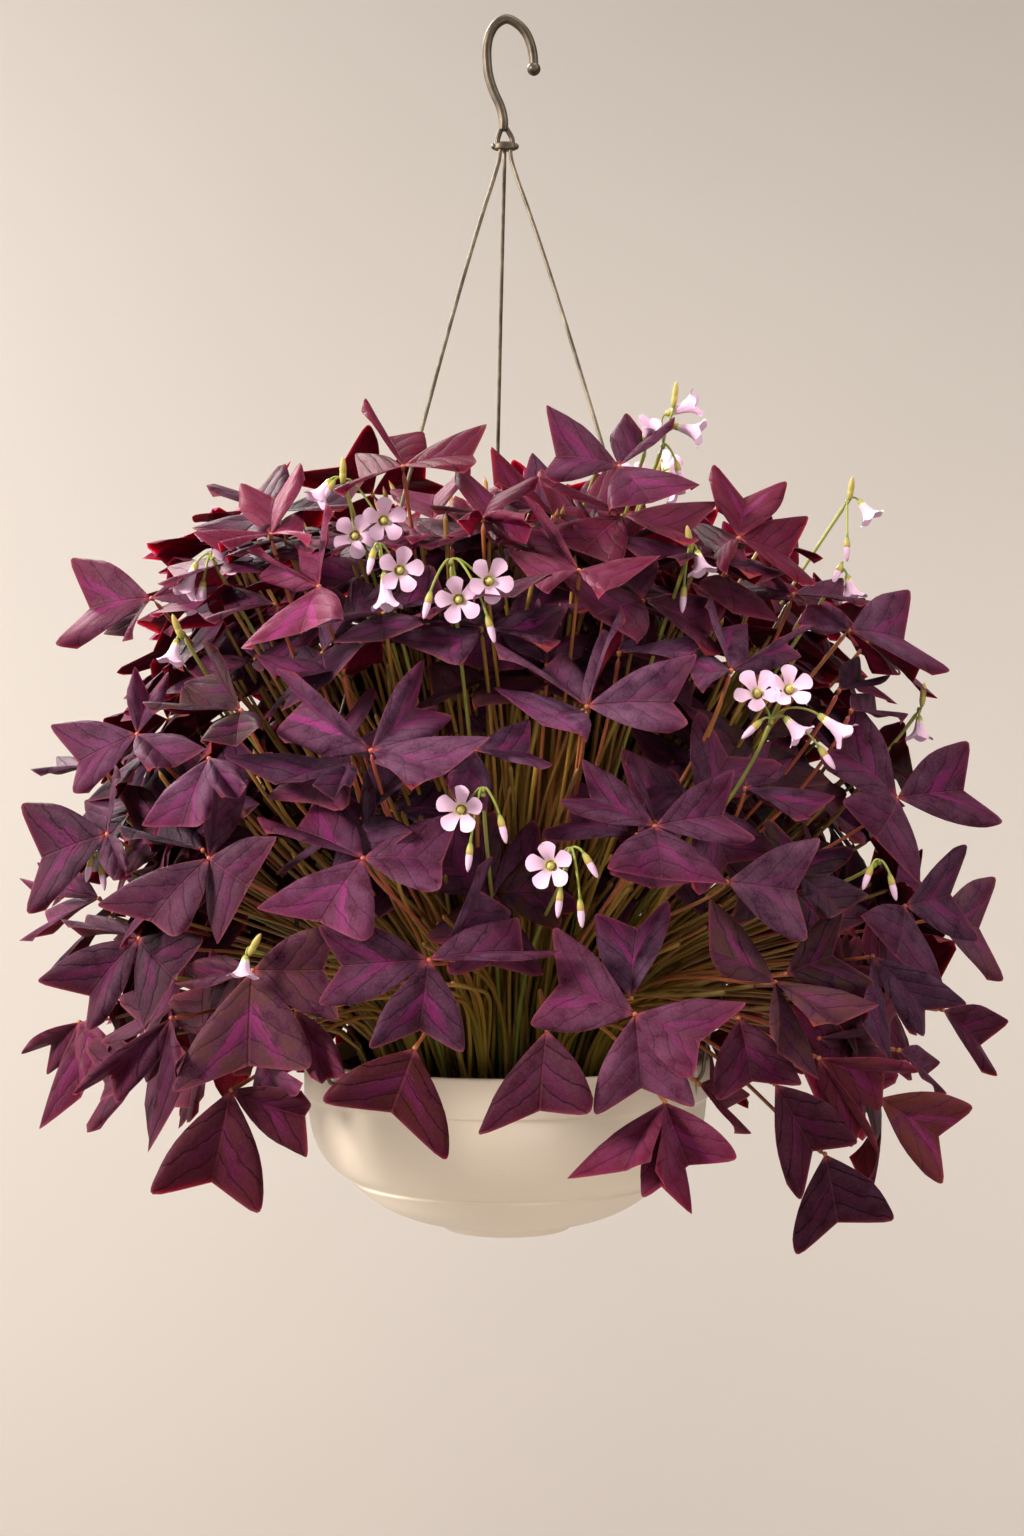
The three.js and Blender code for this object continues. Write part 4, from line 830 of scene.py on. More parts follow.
def stalk_skin(name, low, high, joint):
    """Juicy leaf or flower stalk: smooth, slightly waxy, painted darker towards its foot as shade, olive low
    down and flushed red above by the tone attribute's first value, each a little lighter or darker by its
    third."""
    look, tree = blank(name)
    along = place_of(tree)[1]
    flush, _, bright, _ = tones_of(tree)
    grain = node(tree, NOISE, {"Vector": node(tree, "TexCoord", out=3), "Scale": 260, "Detail": 3})
    climb = node(tree, MATH, {0: grain, 1: 0.35, 2: along}, **TIMES_PLUS)
    climb = node(tree, RANGE, {"Value": climb, "From Min": 0.3, "From Max": 0.85}, **SMOOTH)
    climb = node(tree, MATH, {0: climb, 1: flush}, **TIMES)
    skin = node(tree, MIX, {0: climb, 6: low, 7: high}, **COLOUR)
    top = node(tree, RANGE, {"Value": along, "From Min": 0.95, "From Max": 1.0})
    skin = node(tree, MIX, {0: top, 6: skin, 7: joint}, **COLOUR)
    light = node(tree, MATH, {0: bright, 1: 0.8, 2: 0.4}, **TIMES_PLUS)
    light = node(tree, MATH, {0: grain, 1: 0.3, 2: light}, **TIMES_PLUS)
    # Painted shade: the light falls to 0.4 over the lowest 0.4 of the stalk, darkest at the soil
    foot = {"Value": along, "From Min": 0.0, "From Max": 0.4, "To Min": 0.4, "To Max": 1.0}
    light = node(tree, MATH, {0: light, 1: node(tree, RANGE, foot)}, **TIMES)
    skin = node(tree, MIX, {0: 1.0, 6: skin, 7: light}, **SHADE)
    relief = node(tree, BUMP, {"Height": grain, "Strength": 0.25, "Distance": 0.0003})
    inputs = {"Base Color": skin, "Roughness": 0.45, "Specular IOR Level": 0.45, "Normal": relief}
    return finished(look, inputs)


def petal_skin(name):
    """Oxalis petal: thin, silky and pale lilac-pink, with fine darker veins along it that fade
    before its edge, and greenish yellow at its foot."""
    look, tree = blank(name)
    across, along = place_of(tree)
    lines = node(tree, MATH, {0: across, 1: 5.0}, **TIMES)
    lines = node(tree, MATH, {0: lines, 1: 0.5}, operation="PINGPONG")
    vein = node(tree, RANGE, {"Value": lines, "From Min": 0.0, "From Max": 0.16, **FALL})
    inner = node(tree, RANGE, {"Value": along, "From Min": 0.4, "From Max": 0.95, **FALL})
    for share in (inner, 0.3):
        vein = node(tree, MATH, {0: vein, 1: share}, **TIMES)
    skin = node(tree, MIX, {0: vein, 6: "#e6bdd8", 7: "#c086b4"}, **COLOUR)
    foot = node(tree, RANGE, {"Value": along, "From Min": 0.1, "From Max": 0.3, **FALL})
    skin = node(tree, MIX, {0: foot, 6: skin, 7: "#dfe3a4"}, **COLOUR)
    relief = node(tree, BUMP, {"Height": lines, "Strength": 0.3, "Distance": 0.0002})
    inputs = {"Base Color": skin, "Roughness": 0.55, "Specular IOR Level": 0.3, "Normal": relief}
    return finished(look, inputs | {"Sheen Weight": 0.2})


def eye_skin(name):
    """Eye of the flower: short green stamens and styles round a pale tip, by height on the dome."""
    look, tree = blank(name)
    dots = {"Vector": node(tree, "TexCoord", out=3), "Scale": 1400}  # 0.7 mm anthers
    dots = node(tree, CELLS, dots)
    skin = node(tree, MIX, {0: place_of(tree)[1], 6: "#b8b63c", 7: "#ece27c"}, **COLOUR)
    # Painted light and shade on the anthers: lighter at the middle of each, darker in the gaps between them
    light = {"Value": dots, "From Min": 0.0, "From Max": 0.7, "To Min": 1.1, "To Max": 0.6}
    skin = node(tree, MIX, {0: 1.0, 6: skin, 7: node(tree, RANGE, light)}, **SHADE)
    relief = node(tree, BUMP, {"Height": dots, "Strength": 0.6, "Distance": 0.0004}, invert=True)
    return finished(look, {"Base Color": skin, "Roughness": 0.6, "Normal": relief})


def bronzed_steel(name, dark, pale):
    """Steel rod with a rubbed bronze finish: drawn, then darkened by dip and wiped back, so it
    glows dully with soft brown clouds and fine wear."""
    look, tree = blank(name)
    spot = node(tree, "TexCoord", out=3)
    cloud = node(tree, NOISE, {"Vector": spot, "Scale": 90, "Detail": 4, "Roughness": 0.6})
    fine = node(tree, NOISE, {"Vector": spot, "Scale": 1600, "Detail": 3})
    wear = node(tree, RANGE, {"Value": cloud, "From Min": 0.35, "From Max": 0.7})
    skin = node(tree, MIX, {0: wear, 6: dark, 7: pale}, **COLOUR)
    rough = {"Value": cloud, "From Min": 0.3, "From Max": 0.7, "To Min": 0.4, "To Max": 0.5}
    relief = node(tree, BUMP, {"Height": fine, "Strength": 0.05, "Distance": 0.0001})
    inputs = {"Base Color": skin, "Metallic": 0.85, "Roughness": node(tree, RANGE, rough)}
    return finished(look, inputs | {"Normal": relief})


def satin_glaze(name):
    """Stoneware with a cream satin glaze: smooth and softly shiny, a trace lighter and darker in
    wide clouds, with sparse pinhead specks of iron from the clay."""
    look, tree = blank(name)
    spot = node(tree, "TexCoord", out=3)
    cloud = node(tree, NOISE, {"Vector": spot, "Scale": 14, "Detail": 3})
    iron = node(tree, NOISE, {"Vector": spot, "Scale": 700, "Detail": 2})
    iron = {"Value": iron, "From Min": 0.72, "From Max": 0.8, "To Min": 0.0, "To Max": 0.25}
    skin = node(tree, MIX, {0: cloud, 6: "#f0ddc6", 7: "#f8e9d6"}, **COLOUR)
    skin = node(tree, MIX, {0: node(tree, RANGE, iron), 6: skin, 7: "#8a6f52"}, **COLOUR)
    relief = node(tree, BUMP, {"Height": cloud, "Strength": 0.1, "Distance": 0.001})
    inputs = {"Base Color": skin, "Roughness": 0.42, "IOR": 1.5, "Normal": relief}
    return finished(look, inputs | {"Coat Weight": 0.15, "Coat Roughness": 0.25})


def potting_soil(name):
    """Moist peat compost: dark brown crumbs of 1 to 4 mm with paler bits of bark and fibre."""
    look, tree = blank(name)
    spot = node(tree, "TexCoord", out=3)
    crumbs = node(tree, CELLS, {"Vector": spot, "Scale": 380})
    fibre = node(tree, NOISE, {"Vector": spot, "Scale": 300, "Detail": 6, "Roughness": 0.75})
    bark = {"Value": fibre, "From Min": 0.66, "From Max": 0.74, "To Min": 0.0, "To Max": 0.7}
    skin = node(tree, MIX, {0: fibre, 6: "#1c120b", 7: "#4a3422"}, **COLOUR)
    skin = node(tree, MIX, {0: node(tree, RANGE, bark), 6: skin, 7: "#7a5a3a"}, **COLOUR)
    relief = node(tree, BUMP, {"Height": crumbs, "Strength": 1.0, "Distance": 0.002}, invert=True)
    return finished(look, {"Base Color": skin, "Roughness": 0.95, "Normal": relief})


def matt_wall(name, colour):
    """Studio paper: matt and even, with a barely visible cloudiness."""
    look, tree = blank(name)
    cloud = node(tree, NOISE, {"Vector": node(tree, "TexCoord", out=3), "Scale": 0.8, "Detail": 2})
    light = node(tree, RANGE, {"Value": cloud, "To Min": 0.94, "To Max": 1.03})
    skin = node(tree, MIX, {0: 1.0, 6: colour, 7: light}, **SHADE)
    return finished(look, {"Base Color": skin, "Roughness": 0.9, "Specular IOR Level": 0.1})


# Leaves

# Materials of a clump and of a flower head, by their places in its list
UPPER_LOOK, UNDER_LOOK, STALK_LOOK = 0, 1, 2
PETAL_LOOK, EYE_LOOK = 0, 1

# Shares of a leaflet's length from its hub, and of its width from rib to margin on both wings
LENGTHS = np.array([0, 0.08, 0.2, 0.34, 0.48, 0.62, 0.76, 0.89, 1])
HALF_WIDTHS = np.array([0.05, 0.22, 0.4, 0.56, 0.68, 0.78, 0.86, 0.93, 1])
WIDTHS = np.concatenate([-HALF_WIDTHS[::-1], [0], HALF_WIDTHS])
FEW_LENGTHS = np.array([0, 0.25, 0.52, 0.8, 1])
FEW_WIDTHS = np.array([-1, -0.88, -0.74, -0.4, 0, 0.4, 0.74, 0.88, 1])
BLADE = 0.5
SIDE_END = 0.88
BEND = 0.27


def leaflet_skins(hubs, faces, pairs, tones, rng, lengths=LENGTHS, widths=WIDTHS):
    """Closed skins of n leaflets, each an inverted triangle with its point at the hub.

    Length s and width h are shares. A side bows out from the line to its corner K by b sin(pi x),
    where x runs from 0 at the hub to 0.88. From there a cubic carries on in the same direction,
    rounds the corner and comes in to the notch N on the rib: its knots are N, 0.13 N + 0.98 K, the
    side's end moved on by 0.27 of its slope, and the side's end. A point between rib and side is s
    of the way to that margin, plus the side's bow times h^1.6. It is lifted off the plane of the
    corners by the arch sin(pi s) of the rib, by the camber sin(pi h) s of each wing and by a slow
    wave near the margin. The corner curls down by (s h)^6.
    """
    n = len(hubs)

    def drawn(low, high):
        return rng.uniform(low, high, (n, 1, 1, 1))

    middle = pairs.mean(axis=1)
    up = np.cross(pairs[:, 0] - hubs, pairs[:, 1] - hubs)
    turned_over = (up * faces).sum(-1) < 0
    right, left = (np.where(turned_over[:, None], pairs[:, 1 - k], pairs[:, k]) for k in (0, 1))
    up = unit(np.where(turned_over[:, None], -up, up))
    reach = np.linalg.norm(pairs - hubs[:, None], axis=-1).mean(axis=1)
    chord = np.linalg.norm(right - left, axis=-1)
    fold = np.sqrt(np.maximum(0, (0.59 * reach) ** 2 - chord**2 / 4))
    deep = rng.uniform(0.8, 0.93, n)
    dip = np.clip(0.5 * fold, rng.uniform(0.08, 0.14, n) * reach, 0.16 * reach)
    notch = hubs + (middle - hubs) * deep[:, None] - up * dip[:, None]

    s, t = lengths[None, :, None, None], widths[None, None, :, None]
    h = np.abs(t)
    hub, up, size = hubs[:, None, None], up[:, None, None], reach[:, None, None, None]
    corner = np.where(t < 0, left[:, None, None], right[:, None, None]) - hub
    out = unit(np.where(t < 0, (left - right)[:, None, None], (right - left)[:, None, None]))
    first, second, third, last = (1 - h) ** 3, 3 * (1 - h) ** 2 * h, 3 * (1 - h) * h**2, h**3
    to_notch = first + 0.13 * second
    to_corner = 0.98 * second + (SIDE_END + BEND) * third + SIDE_END * last
    end = math.sin(math.pi * SIDE_END)
    past = end + BEND * math.pi * math.cos(math.pi * SIDE_END)
    bow = np.sin(math.pi * SIDE_END * s) * h**1.6 + s * (past * third + end * (last - h**1.6))
    bulge = drawn(0.09, 0.13) * bow
    arch = drawn(0.02, 0.05) * np.sin(math.pi * s)
    camber = drawn(0.03, 0.07) * np.sin(math.pi * h) * s
    curl = drawn(0, 0.09) * (s * h) ** 6
    wave = drawn(0.006, 0.018) * np.sin(3 * math.pi * s + drawn(0, 6.3) + 2 * t) * h**3 * s
    lift = size * (arch + camber - curl + wave)
    top = hub + s * (to_notch * (notch[:, None, None] - hub) + to_corner * corner)
    top = top + size * bulge * out + lift * up
    bottom = top - BLADE * up

    across = np.sign(t) * (s * to_corner * HALF_SPAN + bulge) + 0 * lift
    along = s * (to_notch * 0.72 + to_corner * 0.8) + 0 * lift
    rim = np.maximum(np.where(s == 1, 1, 0), np.where(h == 1, np.minimum(1, 4 * s), 0)) + 0 * lift
    tone = np.concatenate([np.broadcast_to(tones[:, None, None], lift.shape[:3] + (3,)), rim], axis=-1)
    return shell(top, bottom, np.concatenate([across, along], axis=-1), tone, (UPPER_LOOK, UNDER_LOOK))


def hub_knobs(hubs, faces, tones):
    """Rounded joints where leaflets meet: bars 3 mm long that swell to 1.2 mm and close at both ends."""
    steps = np.array([-2.4, -2.1, -1.1, -0.1, 0.4, 0.6])
    radii = np.array([0, 0.85, 1.05, 1.2, 0.8, 0])
    return tubes(hubs[:, None] + faces[:, None] * steps[None, :, None], radii, 7, STALK_LOOK, tones)


def stalk_bars(controls, tones, steps=20, sides=6, thick=STALK_RADIUS - 0.1, thin=0.85, look=STALK_LOOK):
    """Stalks along cubics, drawn in from thick at the soil to thin at the leaf."""
    share = np.concatenate([[0, 0.004], np.linspace(0.06, 0.985, steps), [1]])
    radii = thick + (thin - thick) * share**0.7
    radii[[0, -1]] = 0
    radii[-2] *= 1.25
    return tubes(bezier(controls, share), radii, sides, look, tones)


def knob(foot, form, sides, tone, size=1.0):
    """An upright bar with the heights and radii of a form, closed at both ends."""
    steps, radii = np.array(form)
    return tubes((foot + UP * steps[:, None])[None], size * radii, sides, STALK_LOOK, tone)


def bulb(spot, radius):
    """A crown of short bulb scales, which swells to radius just above the soil."""
    form = [-6, -5, -2, 1, 4, 6.5, 7.5], [0, 0.8, 1, 1.05, 0.8, 0.35, 0]
    return knob(vec(*spot, RIM_Z - SOIL_DROP), form, 9, toned([0.2], 0, 0.1), radius)


def toned(bronze, crimson, bright, rim=0.0):
    """Tones (n, 4) from four values or arrays."""
    values = (np.asarray(x, dtype=float) for x in (bronze, crimson, bright, rim))
    return np.stack(np.broadcast_arrays(*values), -1)


def leaf_tones(n, hubs, rng):
    """Bronze, crimson and brightness of n leaves: the low ones are wine red and painted darker as shade,
    those high up are painted crimson as light coming through, and old bronze leaves hang in the middle and
    lower right."""
    rise = hubs[:, 2] - RIM_Z
    # Painted glow: leaves high up get extra crimson, as if light came through them
    high = np.clip((rise - 190) / 90, 0, 1) * rng.uniform(0.15, 1, n)
    crimson = np.where(rise < 45, rng.uniform(0.15, 0.5, n), rng.uniform(0, 0.22, n)) + 0.75 * high
    old = (rng.random(n) < 0.16) | ((hubs[:, 0] > 60) & (rise < 90) & (rng.random(n) < 0.45))
    bronze = np.where(old, rng.uniform(0.5, 1, n), rng.uniform(0, 0.3, n))
    # Brightness: a random tone, times painted shade that darkens leaves the lower they hang
    bright = rng.uniform(0.1, 1, n) * np.clip(0.75 + rise / 900, 0.5, 1)
    return toned(bronze, np.minimum(crimson, 1), bright)


def clump_parts(members, rng):
    """Leaflets, knobs and stalks of the leaves of one crown."""
    hubs = take(members, "hub")
    faces = take(members, "axes")[:, 0]
    tones = leaf_tones(len(members), hubs, rng)
    which = np.repeat(np.arange(len(members)), [len(leaf["leaflets"]) for leaf in members])
    pairs = np.concatenate([leaf["leaflets"] for leaf in members])
    each = tones[which]
    each[:, 2] = np.clip(each[:, 2] + rng.uniform(-0.15, 0.15, len(which)), 0, 1)
    flush = toned(rng.uniform(0.6, 1, len(members)), 0, rng.uniform(0.3, 0.9, len(members)))
    return [
        leaflet_skins(hubs[which], faces[which], pairs, each[:, :3], rng),
        hub_knobs(hubs, faces, flush),
        stalk_bars(take(members, "stalk"), flush),
    ]


# Flowers

PETAL_LENGTHS = np.array([0, 0.22, 0.45, 0.66, 0.84, 0.95, 1])
PETAL_WIDTHS = np.array([-1, -0.6, 0, 0.6, 1])
PETALS = 5
PETAL_FOOT = 0.3
PETAL_WIDEST = 0.8

# Distances along a flower's axis and the radii of the solid there
CALYX = [-0.8, -0.4, 0.8, 2.4, 4, 4.4], [0, 1, 1.6, 1.75, 1.5, 0]
EYE = [0.4, 0.8, 2.4, 4.2, 5.0, 5.4], [0, 0.9, 1.35, 1.3, 0.8, 0]
BUD = [0.4, 1.5, 4, 6.5, 9, 11, 12], [0, 1.0, 1.45, 1.6, 1.3, 0.7, 0]
BUD_CALYX = [-0.8, -0.3, 1.2, 3, 4.6, 6.4], [0, 0.8, 1.3, 1.6, 1.55, 0]
JOINT = [-1.6, -1.2, 0, 1.2, 1.6], [0, 0.9, 1.3, 0.9, 0]


def petal_skins(flowers, rng):
    """Five petals a flower, on a trumpet round its axis.

    At share s of its length a petal is at radius r(s) and depth d(s) on the trumpet and spans the
    angle asin(w / r) on both sides, for the half width w of a wedge-shaped blade: it rises from 0.3
    of its full width as s^1.2, is widest at 0.8 and closes on a flat ellipse. An open flower is flat
    from half its radius on, a nodding one stays a tube until its mouth.
    """
    n = len(flowers)

    def each(key):
        return np.repeat(take(flowers, key), PETALS, axis=0)[:, None, None]

    s, t = PETAL_LENGTHS[None, :, None], PETAL_WIDTHS[None, None, :]
    opened = each("kind") == "o"
    depth, radius = each("depth"), each("radius")
    radius = np.where(opened, 0.9 * radius, radius)
    seat, axis, u, v = (each(key) for key in ("seat", "axis", "u", "v"))
    centre = np.tile(np.arange(PETALS), n) * 2 * math.pi / PETALS
    centre = (centre + np.repeat(rng.uniform(0, 6.3, n), PETALS))[:, None, None]

    flare = PETAL_FOOT + (1 - PETAL_FOOT) * (s / PETAL_WIDEST) ** 1.2
    closing = np.clip(1 - 0.55 * ((s - PETAL_WIDEST) / (1 - PETAL_WIDEST)) ** 2, 0, 1)
    width = np.where(s < PETAL_WIDEST, flare, np.sqrt(closing))
    blade = np.where(opened, 0.37 * radius, 0.55 * radius) * width
    r = np.where(opened, 1.1 + (radius - 1.1) * s**1.1, 1.2 + 1.6 * s + (radius - 2.8) * s**4)
    tip = rng.uniform(-0.9, 0.9, (PETALS * n, 1, 1)) * s**2
    d = np.where(opened, depth * (1 - (1 - s) ** 2.4) + tip, depth * s**0.9)
    r = r * (1 - np.where(opened, 0.07, 0.02) * t**2 * s**4)
    d = d - np.where(opened, 0.0, 0.12 * depth) * t**2 * s**3 + 0.35 * t * s * np.where(opened, 1, 0.5)
    angle = centre + np.arcsin(np.minimum(0.66, blade / r)) * t
    ring = np.cos(angle)[..., None] * u + np.sin(angle)[..., None] * v
    cup = np.where(opened, 0.5, 0.3) * t**2 * s
    outer = seat + ring * r[..., None] + axis * (d + cup)[..., None]
    skin = np.where(opened, -0.35, 0)[..., None] * axis + np.where(opened, 0, 0.35)[..., None] * ring
    place = np.stack(np.broadcast_arrays(t * 0.5, s), -1)
    tone = toned(0, 0, 0, (s == 1) | (np.abs(t) == 1))
    return shell(outer, outer + skin, place, tone, (PETAL_LOOK, PETAL_LOOK))


def blobs(flowers, form, look, sides=8):
    """Bars on the flowers' axes with the distances and radii of a form, closed at both ends."""
    if not flowers:
        return []
    steps, radii = np.array(form, dtype=float)
    line = take(flowers, "seat")[:, None] + take(flowers, "axis")[:, None] * steps[None, :, None]
    return [tubes(line, radii, sides, look, toned(np.ones(len(flowers)), 1, 1))]


def bloom_parts(bloom, rng):
    """Petals, eyes, buds, calyces, pedicels and scape of one flower head."""
    flowers = bloom["flowers"]
    cups = [f for f in flowers if f["kind"] != "b"]
    buds = [f for f in flowers if f["kind"] == "b"]
    parts = [petal_skins(cups, rng)] if cups else []
    parts += blobs(cups, CALYX, STALK_LOOK)
    parts += blobs([f for f in cups if f["kind"] == "o"], EYE, EYE_LOOK, 10)
    # An upright bud is still green
    parts += blobs([f for f in buds if f["axis"][2] <= 0], BUD, PETAL_LOOK)
    parts += blobs([f for f in buds if f["axis"][2] > 0], BUD, STALK_LOOK)
    parts += blobs(buds, BUD_CALYX, STALK_LOOK)
    pale = toned(0.15, 0, rng.uniform(0.5, 1, len(flowers)))
    parts.append(stalk_bars(take(flowers, "pedicel"), pale, 9, 6, PEDICEL_RADIUS, 0.55))
    tone = toned([0.35], 0, 0.6)
    parts.append(stalk_bars(bloom["scape"][None], tone, 24, 7, 1.0, SCAPE_RADIUS))
    return [*parts, knob(bloom["joint"], JOINT, 7, tone)]


# Inner leaves and stalks, which fill the dome behind the outer leaves

INNER_LEAVES = 250
SKIRT_LEAVES = 44
LOW_LEAVES = 46
SPARE_STALKS = 430


def leaf_fans(hubs, tilt, turn, rng, size):
    """Faces (n, 3) and leaflet corners (n, 3, 2, 3) of leaves with three even leaflets each, whose
    ribs droop from the leaf's plane and whose wings fold up along the rib."""
    n = len(hubs)
    axes = leaf_axes(tilt, turn)
    thirds = np.arange(3) * 2 * math.pi / 3
    bearing = rng.uniform(0, 2 * math.pi, (n, 1)) + thirds + rng.uniform(-0.16, 0.16, (n, 3))
    droop, fold = (rng.uniform(low, high, (n, 3)) for low, high in ((0.05, 0.4), (0.2, 0.6)))
    size = size[:, None] * rng.uniform(0.95, 1.05, (n, 3))
    return axes[0], corners(hubs[:, None], [axis[:, None] for axis in axes], bearing, droop, fold, size)


def crown_feet(tips, rng):
    """Where stalks leave the soil, each a little off the place that base_radius gives it."""
    radius = np.clip(base_radius(tips) + rng.uniform(-6, 6, len(tips)), 3, 84)
    around = np.arctan2(tips[:, 1], tips[:, 0]) + rng.uniform(-0.25, 0.25, len(tips))
    return polar(radius, around, RIM_Z - SOIL_DROP - 4.0)


def bent_stalks(tips, face, rng):
    """Controls of stalks to many tips, each bent aside by a draw."""
    feet = crown_feet(tips, rng)
    return stalk_path(feet, tips, face, rng.uniform(-16, 16, (len(tips), 1)))


def inner_growth(rng):
    """Hubs, tilts and turns of inner leaves: a filling that faces up and out, sparse low in front,
    where the stalks show, a skirt at both sides behind the outer ones and a low screen at the back."""
    n, skirt, low = INNER_LEAVES, SKIRT_LEAVES, LOW_LEAVES
    rise = 262 - 180 * rng.random(n) ** 1.1
    zones = [
        (rise, np.sqrt(rng.uniform(0.08, 0.86, n)), rng.uniform(0, 2 * math.pi, n),
         lerp(28, 66, np.clip((rise - 80) / 190, 0, 1)) + rng.uniform(-16, 16, n)),
        (rng.uniform(-12, 95, skirt), rng.uniform(0.72, 0.93, skirt),
         rng.uniform(-0.95, 0.85, skirt) + np.where(rng.random(skirt) < 0.5, 0, math.pi),
         rng.uniform(0, 40, skirt)),
        (rng.uniform(-8, 90, low), np.sqrt(rng.uniform(0.12, 0.8, low)),
         rng.uniform(0.2, math.pi - 0.2, low), rng.uniform(5, 50, low)),
    ]
    rise, share, around, tilt = (np.concatenate(drawn) for drawn in zip(*zones))
    hubs = polar(dome_radius(rise) * share, around, RIM_Z + rise)
    turn = around + math.pi / 2 + rng.uniform(-0.6, 0.6, len(rise))
    window = (hubs[:, 1] < -20) & (rise < 185) & (np.abs(hubs[:, 0]) < 140)
    kept = ~window | (rng.random(len(rise)) < 0.4)
    return hubs[kept], np.radians(tilt)[kept], turn[kept]


def inner_foliage():
    """Fills the dome: leaves in four pieces, bare stalks in one, all painted darker than the outer ones as
    shade.
    """
    rng = np.random.default_rng(77)
    hubs, tilt, turn = inner_growth(rng)
    n = len(hubs)
    face, pairs = leaf_fans(hubs, tilt, turn, rng, rng.uniform(36, 47, n))
    tones = leaf_tones(n, hubs, rng)
    # Painted shade: the inner leaves keep only 0.6 of their brightness
    tones[:, 2] *= 0.6
    # Painted shade: their knobs and stalks are darker than the outer ones
    flush = toned(rng.uniform(0.2, 0.7, n), 0, rng.uniform(0.1, 0.6, n))
    paths = bent_stalks(hubs - face * HUB_DEPTH, face * 0.6, rng)
    for k in range(4):
        own = slice(k, n, 4)
        hub, front, tone = (np.repeat(x[own], 3, axis=0) for x in (hubs, face, tones[:, :3]))
        parts = [
            leaflet_skins(hub, front, pairs[own].reshape(-1, 2, 3), tone, rng, FEW_LENGTHS, FEW_WIDTHS),
            hub_knobs(hubs[own], face[own], flush[own]),
            stalk_bars(paths[own], flush[own], 10, 5),
        ]
        make_piece(f"inner_leaves_{k + 1}", parts, [upper_skin, under_skin, inner_stalk])
    n = SPARE_STALKS
    outer = take(leaves, "hub") - take(leaves, "axes")[:, 0] * 12
    outer = outer[outer[:, 2] > RIM_Z + 45]
    tips = outer[rng.integers(0, len(outer), n)]
    tips = tips * ([1, 1, 0] * rng.uniform(0.45, 0.95, (n, 1)) + UP) + rng.uniform(-20, 20, (n, 3))
    paths = bent_stalks(tips, 0.12 * UP, rng)
    # Painted shade: most spare stalks are dark
    flush = toned(rng.uniform(0, 0.7, n), 0, rng.uniform(0, 0.8, n) ** 1.5)
    make_piece("inner_stalks", [stalk_bars(paths, flush, 12, 5, 1.25, 0.95, 0)], [inner_stalk])


# Studio

# Metres: where a lamp stands, what it points at, its diameter, watts, colour and spread in degrees
LAMPS = {
    "key": [(-1.9, -1.25, 0.55), (0, 0, -0.35), 0.6, 9, "#fffaf4", 60],
    "fill": [(1.7, -1.0, 0.7), (0.1, 0, -0.3), 1.0, 1.3, "#fffaf4", 40],
    "back": [(-0.75, 1.1, 0.75), (0, 0, -0.3), 0.8, 4, "#fff8f0", 50],
    "top": [(0.3, -0.3, 1.6), (0, 0, -0.3), 1.6, 5, "#fff8f0", 60],
    "low": [(0.5, -1.9, -0.75), (0, 0, -0.52), 1.0, 1.1, "#fffaf4", 40],
    "wall": [(-2.65, 0.8, 0.2), (-0.5, 3.3, -1.1), 2.3, 86, "#fffaf4", 180],
    "wall_low": [(1.9, 1.2, -0.4), (0.7, 3.3, -0.4), 1.6, 21, "#fffaf4", 180],
    "side": [(-1.6, 0.0, 0.1), (0, 0, -0.3), 1.4, 3.6, "#fffaf4", 80],
}

# Metres: the paper behind and below the plant
FLOOR_Z, WALL_Y, SWEEP = -2.4, 3.3, 0.6
PAPER_REACH, PAPER_TOP = 30.0, 4.0


def backdrop():
    """Paper that sweeps up from the floor to the wall behind the plant in a quarter circle."""
    bend = np.linspace(0, math.pi / 2, 13)
    across = np.array([-PAPER_REACH, PAPER_REACH])
    y = np.concatenate([[-PAPER_REACH], WALL_Y - SWEEP + SWEEP * np.sin(bend), [WALL_Y]])
    z = np.concatenate([[FLOOR_Z], FLOOR_Z + SWEEP * (1 - np.cos(bend)), [PAPER_TOP]])
    grid = np.stack(np.broadcast_arrays(across[None, :], y[:, None], z[:, None]), axis=-1)
    at = np.arange(grid[..., 0].size).reshape(1, *grid.shape[:2])
    mesh = bpy.data.meshes.new("backdrop")
    mesh.from_pydata(grid.reshape(-1, 3).tolist(), [], squares(at).tolist())
    mesh.polygons.foreach_set("use_smooth", [True] * len(mesh.polygons))
    mesh.materials.append(matt_wall("seamless_paper", "#eae2db"))
    shown("backdrop", mesh)


def lamp(name, spot, target, size, power, colour, spread):
    light = bpy.data.lights.new(name, "AREA")
    light.shape = "DISK"
    light.size = size
    light.energy = power
    light.color = linear(colour)[:3]
    light.spread = math.radians(spread)
    obj = shown(name, light)
    obj.location = spot
    aim = mathutils.Vector(target) - mathutils.Vector(spot)
    obj.rotation_euler = aim.to_track_quat("-Z", "Y").to_euler()


def studio():
    """Backdrop, lamps, the light of the air and the camera."""
    backdrop()
    for name, values in LAMPS.items():
        lamp(name, *values)

    scene = bpy.context.scene
    scene.world = bpy.data.worlds.new("studio_air")
    scene.world.use_nodes = True
    air = next(item for item in scene.world.node_tree.nodes if item.type == "BACKGROUND")
    air.inputs["Color"].default_value = linear("#fbf6f0")
    air.inputs["Strength"].default_value = 0.25

    lens = bpy.data.cameras.new("camera")
    lens.lens = 58
    lens.sensor_width = 36
    scene.camera = shown("camera", lens)
    scene.camera.location = (EYE_X / 1000, -VIEW / 1000, (RIM_Z + EYE_RISE) / 1000)
    scene.camera.rotation_euler = (math.pi / 2, 0, 0)
    scene.view_settings.view_transform = "Standard"


# The whole plant

